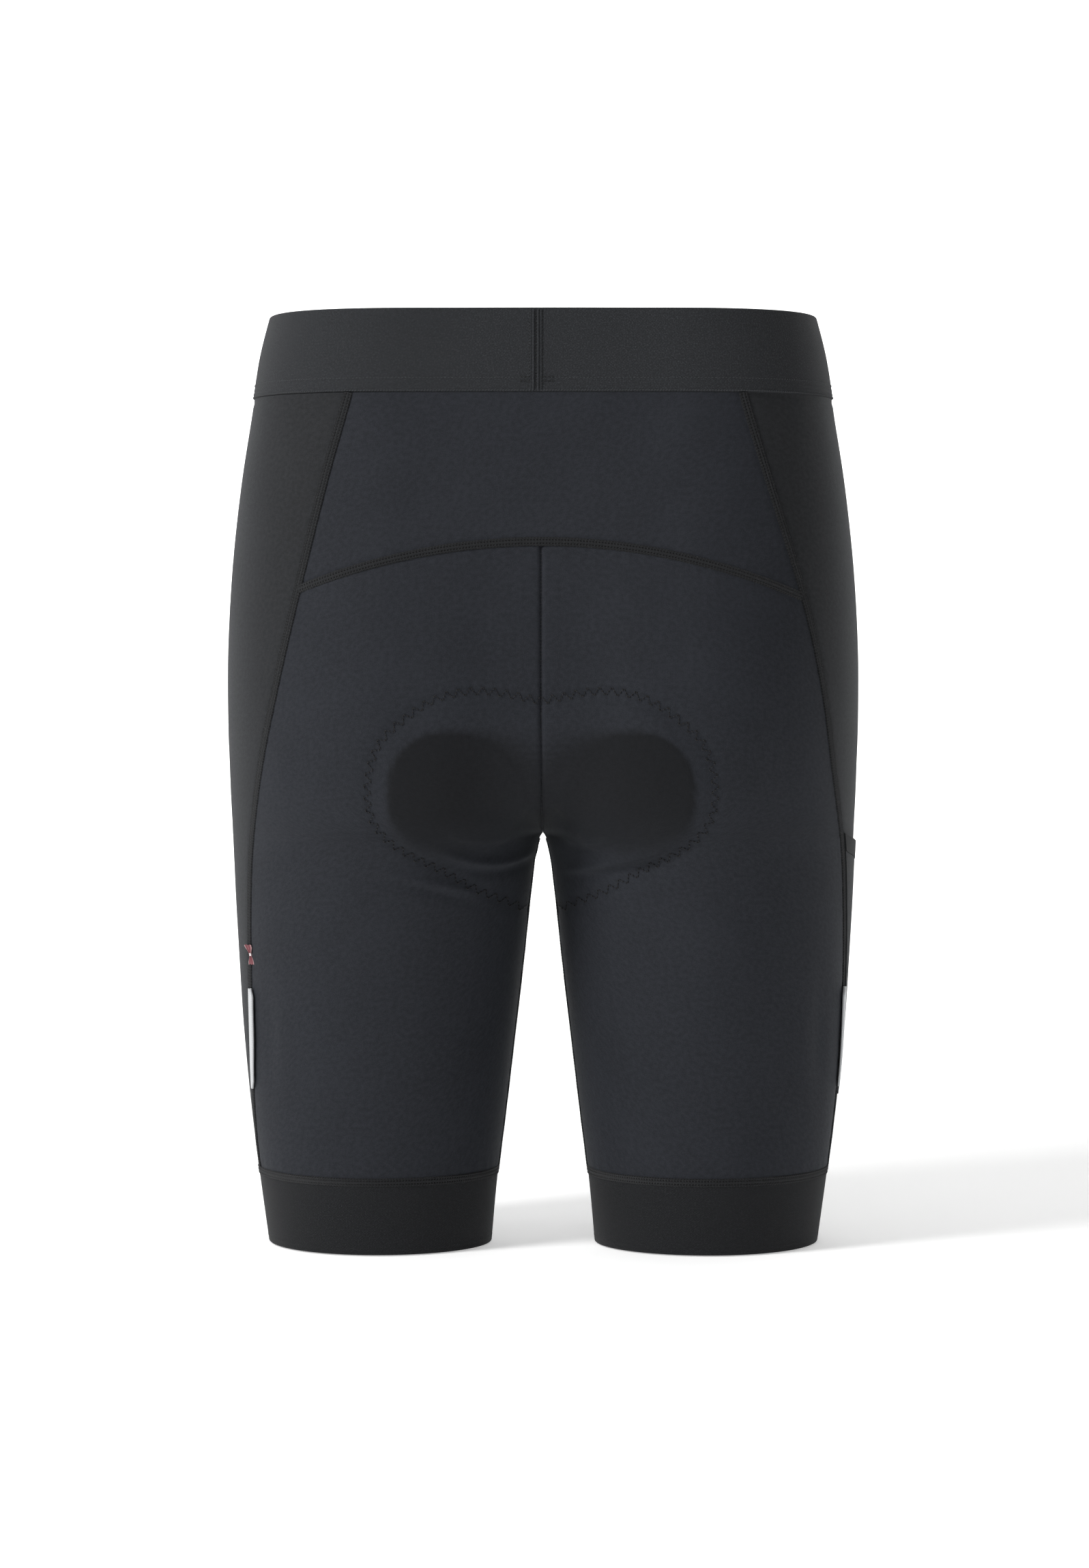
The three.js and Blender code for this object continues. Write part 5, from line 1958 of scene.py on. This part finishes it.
@dataclass(frozen=True)
class Waistband:
    """Wide elastic band with a join at the middle of the back and a stitched lower edge."""

    band: Band = Band(22.5, -22.5, 0.7, 2.2, 396, ((37.9, 0.2, 0.5), (40.4, 0.14, 0.45), (42.7, 0.16, 0.45)))
    cut: Cut = Cut(0.785, 0.045, 0.0353)
    join_x: tuple[float, float] = (-7.0, 0.8)
    join_ridges: tuple[tuple[float, float], ...] = ((-5.7, 0.35), (-4.1, 0.8), (-1.6, 0.85), (0.0, 0.4))
    edge_pitch: float = 1.55
    edge_size: float = 1.35
    edge_z: float = -21.9
    fold_z: float = -15.3
    join_width: float = 0.55
    join_down: tuple[float, float] = (0.6, 44.6)
    join_foot: float = 45.2
    join_rise: float = 0.12
    join_root: float = 0.55
    join_inside: float = 0.2
    bead_pitch: float = 1.5
    column_rows: tuple[float, float, float] = (1.5, 43, 1.7)
    foot_columns: tuple[float, float, float] = (-11.5, 6.5, 2.1)
    stitch_height: float = 0.95
    join_columns: tuple[tuple[float, float], ...] = ((-6.5, 1.0), (-2.9, 1.5), (0.5, 0.8))
    foot_rows: tuple[float, float] = (37.4, 39.6)

    def ring(self, body: Body, z: float, proud: float) -> Line:
        """Line round the waist at a height.

        Args:
            body: The body.
            z: Height.
            proud: How far it stands off.

        Returns:
            The closed line.
        """
        half = np.linspace(0, 4, 421)
        across = np.concatenate([half[::-1], half[1:]])
        side = np.where(np.arange(len(across)) < len(half), -1, 1)
        row = np.full_like(across, float(body.form.row_at(np.array(z))))
        spots = body.places(across, row, side, folded=False)
        return Line(Places(spots.out(proud), spots.normal), closed=True)

    def join(self, body: Body) -> bpy.types.Object:
        """Upright join at the middle of the back.

        Args:
            body: The body.

        Returns:
            The join.
        """
        w = np.linspace(*self.join_x, 40)
        down = np.linspace(*self.join_down, 90)
        low = self.join_x[0]
        edge = smooth(np.minimum(w - low, self.join_x[1] - w), 0, 0.7)
        ridges = sum(rise * bell(w - x, self.join_width) for x, rise in self.join_ridges)
        beads = 1 + 0.25 * np.sin(math.tau * down / self.bead_pitch)
        row = body.form.row_at(self.band.top - down)
        x = np.abs(w)
        across = solve(lambda u: body.form.point(u, row[:, None])[..., 0] - x, np.zeros((len(down), len(w))),
                       np.ones((len(down), len(w))))
        spots = body.places(across, row[:, None], np.where(w < 0, -1, 1), folded=False)
        out = self.band.proud + edge * (self.join_rise + ridges * beads[:, None])
        ends = smooth(np.minimum(down, self.join_foot - down), 0.3, 1.6)[:, None]
        outer = spots.out(self.join_root + (out - self.join_root) * ends)
        inner = spots.out(self.join_inside)
        cloth = np.stack(np.broadcast_arrays(w, down[:, None]), -1)
        return Grid.wall(outer, inner, cloth).mesh("waistband_join", 70)

    def join_stitches(self, body: Body) -> tuple[Array, Array, Array]:
        """Start, end and outward direction of the stitches on the join and beside its foot.

        Args:
            body: The body.

        Returns:
            Start, end and outward direction of each stitch.
        """
        starts, ends = [], []
        for x, size in self.join_columns:
            for down in np.arange(*self.column_rows):
                starts.append((x - size / 2, down + 0.15))
                ends.append((x + size / 2, down - 0.15))
        for x in np.arange(*self.foot_columns):
            for down in self.foot_rows:
                if not self.join_x[0] < x < self.join_x[1]:
                    starts.append((x, down))
                    ends.append((x + 1.5, down - 0.25))
        places = []
        for spots in (np.array(starts), np.array(ends)):
            row = body.form.row_at(self.band.top - spots[:, 1])
            x = np.abs(spots[:, 0])
            across = solve(lambda u: body.form.point(u, row)[..., 0] - x, np.zeros_like(x), np.ones_like(x))
            places.append(body.places(across, row, np.where(spots[:, 0] < 0, -1, 1), folded=False))
        start, end = (place.out(self.stitch_height) for place in places)
        return start, end, places[0].normal

    def build(self, body: Body, finishes: Finishes) -> None:
        """Makes and dresses the band, its join and its stitches.

        Args:
            body: The body.
            finishes: The finishes.
        """
        band = self.band.build(body, "waistband_elastic", (-1, 1))
        dress(band, finishes.waist, "waistband_knit", "waistband")
        self.cut.declare(band, "stretched", ["yoke_cloth"])
        dress(self.join(body), finishes.waist, "waistband_knit")
        sewn = Stitch(0.24).sew("waistband_join_stitches", *self.join_stitches(body))
        dress(sewn, finishes.thread, "waistband_knit")
        edge, cord = self.ring(body, self.edge_z, 0.62), Stitch(0.3, arch=0.5)
        row = edge.stitches("waistband_edge_stitches", 0, self.edge_pitch, self.edge_size, cord, 0.35)
        dress(row, finishes.pale_thread, "waistband_knit")
        inside = self.ring(body, self.fold_z, 0.78)
        row = inside.stitches("waistband_fold_stitches", 0, 1.9, 1.3, Stitch(0.16), 0.1)
        dress(row, finishes.pale_thread, "waistband_knit")


@dataclass(frozen=True)
class LegBands:
    """Elastic band round the end of each leg."""

    band: Band = Band(-450.15, -490.4, 0.1, 1.6, 230, ((36.5, 0.08, 0.6),))
    cut: Cut = Cut(0.395, 0.0395, 0.0156)

    def build(self, body: Body, finishes: Finishes) -> None:
        """Makes and dresses both bands.

        Args:
            body: The body.
            finishes: The finishes.
        """
        for label, side in SIDES.items():
            band = self.band.build(body, f"leg_band_{label}", (side,))
            dress(band, finishes.hem, "hem_knit", f"hem_{label}")
            self.cut.declare(band, "stretched", [f"seat_cloth_{label}", f"side_cloth_{label}"])


@dataclass(frozen=True)
class SidePocket:
    """Patch pocket on the right side panel with a slanting band along its mouth."""

    top: float = -260.5
    drop: float = 18
    band_height: float = 9.7
    bottom: float = -408
    clear: float = 0.12
    wall: float = 1.0
    band_wall: float = 1.35
    inset: float = 2.7
    swell: float = 0.1
    steepening: float = 0.75
    columns: int = 56
    cut: Cut = Cut(0.122, 0.139, 0.0128)
    band_cut: Cut = Cut(0.128, 0.0118, 0.00148)

    def patch(self, body: Body, name: str, above: float, below: float | None, rows: int,
              wall: float) -> bpy.types.Object:
        """Sheet between two lines under the pocket's mouth.

        Args:
            body: The body.
            name: Name of the piece.
            above: How far under the mouth it starts.
            below: How far under the mouth it ends, or None for the pocket's foot.
            rows: Number of rows.
            wall: Its thickness.

        Returns:
            The sheet.
        """
        form = body.form
        shares = np.linspace(0, 1, self.columns)
        mouth = self.top - self.drop * shares**self.steepening

        def across(row: Array) -> Array:
            """How far round each column lies."""
            start = form.beside(body.back_seam(row, 1), row, self.inset)
            return start + (form.beside(body.front_seam_at(row), row, -self.inset) - start) * shares

        low, high = np.full(len(shares), 6.0), np.full(len(shares), 18.0)
        first = body.row_where(across, lambda x: mouth - above, low, high)
        foot = np.full(len(shares), self.bottom) if below is None else mouth - below
        last = body.row_where(across, lambda x: foot, low, high)
        t = np.linspace(0, 1, rows)[:, None]
        row = first + (last - first) * t
        spots = body.places(across(row), row, 1)
        swell = self.swell * np.sin(np.pi * shares) * np.sqrt(1 - t)
        cloth = np.stack([lengths(spots.point, 1), lengths(spots.point, 0)], -1)
        outer, inner = spots.out(self.clear + wall + swell), spots.out(self.clear + swell)
        return Grid.wall(outer, inner, cloth).mesh(name)

    def build(self, body: Body, finishes: Finishes) -> None:
        """Makes and dresses the pocket and its band.

        Args:
            body: The body.
            finishes: The finishes.
        """
        bag = self.patch(body, "pocket_cloth", self.band_height + 0.3, None, 60, self.wall)
        dress(bag, finishes.side_knit, "side_knit", "pocket_right")
        self.cut.declare(bag, "stretched", ["side_cloth_right"])
        band = self.patch(body, "pocket_band", 0, self.band_height, 9, self.band_wall)
        dress(band, finishes.hem, "hem_knit", "pocket_hem_right")
        self.band_cut.declare(band, "stretched", ["side_cloth_right", "pocket_cloth"])


@dataclass(frozen=True)
class ReflectiveTabs:
    """Folded reflective tapes caught in the back side seams."""

    top: float = -346.6
    bottom: float = -403
    reach: float = 6.0
    thickness: float = 1.7
    tape: float = 0.5
    lift: float = math.radians(7)
    inset: float = 2.3
    clear: float = 0.5
    corner: float = 5.0
    cut: Cut = Cut(0.057, 0.0125, 0.00071)

    def build(self, body: Body, finishes: Finishes) -> None:
        """Makes and dresses both tabs.

        Args:
            body: The body.
            finishes: The finishes.
        """
        for label, side in SIDES.items():
            tab = self.tab(body, label, side)
            dress(tab, finishes.reflective, "reflective_tape", f"tab_{label}")
            self.cut.declare(tab, "folded", [f"side_cloth_{label}", f"seat_cloth_{label}"])

    def tab(self, body: Body, label: str, side: int) -> bpy.types.Object:
        """Tape folded on itself, its fold away from the seam.

        Args:
            body: The body.
            label: Name of the half.
            side: The half.

        Returns:
            The tab.
        """
        form = body.form
        t = np.linspace(0, 1, 46)
        row = form.row_at(self.top + (self.bottom - self.top) * t)
        seam = form.beside(body.back_seam(row, side), row, -self.inset)
        spots = body.places(seam, row, side, folded=False)
        toward = unit(form.point(seam - 0.05, row) - form.point(seam, row)) * np.array([side, 1, 1])
        reach_way = toward * math.cos(self.lift) + spots.normal * math.sin(self.lift)
        face_way = spots.normal * math.cos(self.lift) - toward * math.sin(self.lift)
        from_end = np.minimum(t, 1 - t) * (self.top - self.bottom)
        reach = self.reach * (0.45 + 0.55 * smooth(from_end, 0, self.corner)) * (1 - 0.06 * np.sin(9 * t))
        half = self.thickness / 2 * (1 - 0.3 * t)
        root = spots.out(self.clear)
        bend = np.linspace(-np.pi / 2, np.pi / 2, 9)
        faces = []
        for radius in (half, half - self.tape):
            flat = [root + reach_way * (reach * share)[:, None] for share in (0, 0.4, 0.8)]
            off = face_way * radius[:, None]
            legs, back = [place - off for place in flat], [place + off for place in flat[::-1]]
            turn = [root + reach_way * (reach - half + radius * math.cos(a))[:, None]
                    + face_way * (radius * math.sin(a))[:, None] for a in bend]
            faces.append(np.stack([*legs, *turn, *back]) + face_way * half[:, None])
        outer, inner = faces
        across_it = lengths(outer, 0)
        cloth = np.stack(np.broadcast_arrays((t * (self.top - self.bottom))[None, :], across_it), -1)
        if side < 0:
            outer, inner, cloth = outer[:, ::-1], inner[:, ::-1], cloth[:, ::-1]
        return Grid.wall(outer, inner, cloth).mesh(f"tape_tab_{label}", 75)


@dataclass(frozen=True)
class RibbonTag:
    """Small ribbon on the left side seam, drawn in at its middle by a pale tack and turned to the back."""

    z: float = -327.8
    height: float = 10.6
    top_half_width: float = 2.75
    foot_half_width: float = 2.2
    pinch: float = 1.0
    lift: float = 1.2
    puff: float = 0.7
    wall: float = 0.45
    tilt: float = 0.26
    sideways: float = 0.6
    inward: float = 1.9
    cut: Cut = Cut(0.01, 0.0125, 0.000058)

    def spots(self, body: Body, t: Array, w: Array, lift: Array) -> Places:
        """Points of the ribbon.

        Args:
            body: The body.
            t: Share of its length.
            w: Distance from its middle line, to the seat's side.
            lift: Height over its own plane.

        Returns:
            The points, with the way that the ribbon faces.
        """
        row = body.form.row_at(self.z + self.height * (0.5 - t))
        seam = body.places(body.back_seam(row, -1), row, -1, folded=False)
        facing = unit(seam.normal * self.sideways + np.array([0, -1, 0]) * (1 - self.sideways))
        inward = unit(np.cross(np.array([0, 0, 1]), facing))
        shift = w + self.inward + self.tilt * self.height * (t - 0.5)
        return Places(seam.point + inward * shift[..., None] + facing * (self.lift + lift)[..., None], facing)

    def build(self, body: Body, finishes: Finishes) -> None:
        """Makes and dresses the ribbon and its tack.

        Args:
            body: The body.
            finishes: The finishes.
        """
        t, v = np.meshgrid(np.linspace(0, 1, 41), np.linspace(-1, 1, 29))
        from_middle = np.abs(2 * t - 1)
        widest = np.where(t < 0.5, self.top_half_width, self.foot_half_width)
        width = self.pinch + (widest - self.pinch) * smooth(from_middle, 0.08, 0.85)
        pleats = 0.3 * np.sin(2.5 * np.pi * v + 0.6) * (1 - 0.35 * from_middle)
        lift = self.puff * from_middle**2 + pleats
        ragged = t + 0.02 * np.sin(6 * v + 1) * from_middle**6
        outer = self.spots(body, ragged, v * width, lift + self.wall).point
        inner = self.spots(body, ragged, v * width, lift).point
        cloth = np.stack([v * 2.5, t * self.height], -1)
        bow = Grid.wall(outer, inner, cloth).mesh("ribbon_bow")
        dress(bow, finishes.ribbon, "ribbon", "ribbon_tag")
        self.cut.declare(bow, "folded", ["side_cloth_left", "seat_cloth_left"])
        wound = np.linspace(0.45, 0.55, 4)
        start, end = (self.spots(body, wound, np.full(4, w), np.full(4, 0.1)) for w in (-1.15, 1.15))
        tack = Stitch(0.3, sides=8, arch=2.6).sew("ribbon_tack", start.point, end.point, start.normal)
        dress(tack, finishes.ribbon_tack, "ribbon")


@dataclass(frozen=True)
class SeatPad:
    """Foam pad inside the seat, swollen between its sewn channels by a short cloth simulation."""

    voxel: float = 3.6
    pressure: float = 4.0
    frames: int = 20
    cap: float = 4.0
    outer_depth: float = 4.6
    channel: float = 1.2
    lobe_edge: float = 1.05
    lobe_width: float = 0.05
    fill: float = 0.8

    def pinned(self, body: Body, points: Array) -> Array:
        """Which points stay: the side against the cloth, and the sewn channels.

        Args:
            body: The body.
            points: The pad's points in millimetres.

        Returns:
            True for each point that stays.
        """
        across, row = np.meshgrid(np.linspace(0, 4, 81), np.linspace(5.5, 13.5, 81))
        surface = body.places(across.ravel(), row.ravel(), 1, folded=False)
        tree = KDTree(len(surface.point))
        for i, p in enumerate(surface.point):
            tree.insert(p, i)
        tree.balance()
        stays = []
        for p in points:
            near, i, _ = tree.find((abs(p[0]), p[1], p[2]))
            gap = np.array([abs(p[0]), p[1], p[2]]) - np.array(near)
            depth = -float(gap @ surface.normal[i])
            lobe = body.relief.lobe(np.array(abs(p[0])), np.array(p[2]))
            round_lobe = abs(lobe - self.lobe_edge) < self.lobe_width and p[1] < 0
            stays.append(depth < self.outer_depth or bool(round_lobe) or abs(p[0]) < self.channel)
        return np.array(stays)

    def build(self, body: Body, finishes: Finishes) -> None:
        """Makes, swells and dresses the pad.

        Args:
            body: The body.
            finishes: The finishes.
        """
        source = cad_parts["seat_pad"]
        pad = bpy.data.objects.new("pad_foam", source.data.copy())
        pad.data.materials.clear()
        bpy.context.collection.objects.link(pad)
        self.apply(pad, "REMESH", mode="VOXEL", voxel_size=self.voxel * MILLIMETRE, use_smooth_shade=True)
        self.swell(body, pad)
        self.apply(pad, "SMOOTH", iterations=2, factor=0.5)
        self.apply(pad, "SUBSURF", levels=1, render_levels=1)
        dress(pad, finishes.pad, "pad_foam", "seat_pad")

    def apply(self, pad: bpy.types.Object, kind: str, **settings: object) -> None:
        """Adds a modifier with its settings and applies it.

        Args:
            pad: The pad.
            kind: Kind of modifier.
            settings: Its settings.
        """
        made = pad.modifiers.new(kind.lower(), kind)
        for name, value in settings.items():
            setattr(made, name, value)
        bpy.context.view_layer.objects.active = pad
        bpy.ops.object.modifier_apply(modifier=made.name)

    def swell(self, body: Body, pad: bpy.types.Object) -> None:
        """Blows the pad up a little between its channels.

        Args:
            body: The body.
            pad: The pad.
        """
        rest = np.empty(3 * len(pad.data.vertices))
        pad.data.vertices.foreach_get("co", rest)
        rest = rest.reshape(-1, 3)
        stays = self.pinned(body, rest / MILLIMETRE)
        group = pad.vertex_groups.new(name="sewn")
        group.add(np.flatnonzero(stays).tolist(), 1.0, "REPLACE")
        cloth = pad.modifiers.new("swell", "CLOTH")
        cloth.settings.use_pressure = True
        cloth.settings.uniform_pressure_force = self.pressure
        cloth.settings.vertex_group_mass = "sewn"
        cloth.settings.effector_weights.gravity = 0
        scene = bpy.context.scene
        for step in range(1, self.frames + 1):
            scene.frame_set(step)
        moved = np.empty(rest.size)
        pad.evaluated_get(bpy.context.evaluated_depsgraph_get()).data.vertices.foreach_get("co", moved)
        pad.modifiers.remove(cloth)
        scene.frame_set(1)
        shift = moved.reshape(-1, 3) - rest
        size = np.linalg.norm(shift, axis=1, keepdims=True)
        limit = self.cap * MILLIMETRE
        shift = shift * np.minimum(1, limit / np.maximum(size, 1e-9))
        pad.data.vertices.foreach_set("co", (rest + shift).ravel())
        pad.data.update()
        log.info("pad swollen by up to %.1f mm", 1000 * float(np.minimum(size, limit).max()))


@dataclass(frozen=True)
class Lamp:
    """Soft round lamp: its place and aim in metres, its width in metres and its power in watts."""

    name: str
    place: tuple[float, float, float]
    size: float
    power: float
    aim: tuple[float, float, float] = (0.0, 0.0, -0.22)

    def hang(self) -> None:
        """Hangs the lamp."""
        data = bpy.data.lights.new(self.name, "AREA")
        data.shape, data.size, data.energy = "DISK", self.size, self.power
        made = bpy.data.objects.new(self.name, data)
        made.location = self.place
        made.rotation_mode = "QUATERNION"
        made.rotation_quaternion = (Vector(self.aim) - Vector(self.place)).to_track_quat("-Z", "Y")
        bpy.context.collection.objects.link(made)


@dataclass(frozen=True)
class Studio:
    """Camera, soft lamps and a plain pale floor."""

    aim: tuple[float, float, float] = (0.76, 0.0, -235.6)
    distance: float = 2500.0
    azimuth: float = math.radians(0.5)
    height: float = -141.0
    lens: float = 103.07
    sensor: float = 36
    clip_end: float = 50
    floor: float = -490.9
    floor_half_width: float = 7000.0
    floor_bend_start: float = 3200
    floor_bend: float = 900
    wall_height: float = 6000
    floor_glow: float = 0.4
    air_glow: float = 0.08
    lamps: tuple[Lamp, ...] = (
        Lamp("key", (-2.05, -1.6, 1.6), 1.0, 78, (0.0, 0.0, 0.1)),
        Lamp("fill", (0.2, -2.6, 1.0), 1.3, 5),
        Lamp("edge_left", (-2.1, 0.1, 0.1), 1.2, 4),
        Lamp("edge_right", (2.2, 0.3, 0.0), 1.0, 3.5),
        Lamp("top", (0.0, -0.2, 2.3), 1.8, 12),
        Lamp("wall_left", (-1.6, 1.5, 0.5), 1.6, 42, (-0.6, 4.1, 0.6)),
        Lamp("wall_right", (1.6, 1.5, 0.5), 1.6, 42, (0.6, 4.1, 0.6)),
    )

    def camera(self) -> None:
        """Places the camera where the photograph was taken from."""
        data = bpy.data.cameras.new("camera")
        data.sensor_fit, data.sensor_height, data.sensor_width = "VERTICAL", self.sensor, self.sensor
        data.lens, data.clip_end = self.lens, self.clip_end
        eye = bpy.data.objects.new("camera", data)
        aim = Vector(self.aim)
        beside, behind = self.distance * math.sin(self.azimuth), self.distance * math.cos(self.azimuth)
        place = Vector((aim.x + beside, -behind, self.height))
        eye.location = place * MILLIMETRE
        eye.rotation_mode = "QUATERNION"
        eye.rotation_quaternion = (aim - place).to_track_quat("-Z", "Y")
        bpy.context.collection.objects.link(eye)
        bpy.context.scene.camera = eye

    def backdrop(self) -> None:
        """Lays the floor, which curves up into the wall behind."""
        bend, radius, start = np.linspace(0, np.pi / 2, 13), self.floor_bend, self.floor_bend_start
        y = np.concatenate([[-self.floor_half_width], start + radius * np.sin(bend), [start + radius]])
        z = np.concatenate([[0], radius - radius * np.cos(bend), [self.wall_height]]) + self.floor
        x = np.array([-self.floor_half_width, self.floor_half_width])
        points = np.stack([np.stack([np.full(len(y), side), y, z], -1) for side in x], 1).reshape(-1, 3)
        faces = [[2 * i, 2 * i + 1, 2 * i + 3, 2 * i + 2] for i in range(len(y) - 1)]
        floor = new_object("floor", points, faces, np.zeros((4 * len(faces), 2)), 60)
        floor.data.materials.append(StageFinish("pale_floor", "#fbfbfa", self.floor_glow).material())

    def build(self) -> None:
        """Sets up the whole studio."""
        self.camera()
        self.backdrop()
        for lamp in self.lamps:
            lamp.hang()
        world = bpy.data.worlds.new("studio")
        world.use_nodes = True
        air = world.node_tree.nodes["Background"].inputs
        air["Color"].default_value, air["Strength"].default_value = (1, 1, 1, 1), self.air_glow
        bpy.context.scene.world = world
        bpy.context.scene.view_settings.view_transform = "Standard"


def main() -> None:
    """Builds the trousers and the studio."""
    logging.basicConfig(level=logging.INFO, format="%(message)s")
    Studio().build()
    finishes = Finishes()
    body = Body(Form(), Relief())
    parts = (Panels(), Waistband(), LegBands(), Seams(), PadStitching(), SidePocket(), ReflectiveTabs(),
             RibbonTag(), SeatPad())
    for part in parts:
        part.build(body, finishes)


if __name__ == "__main__":
    main()
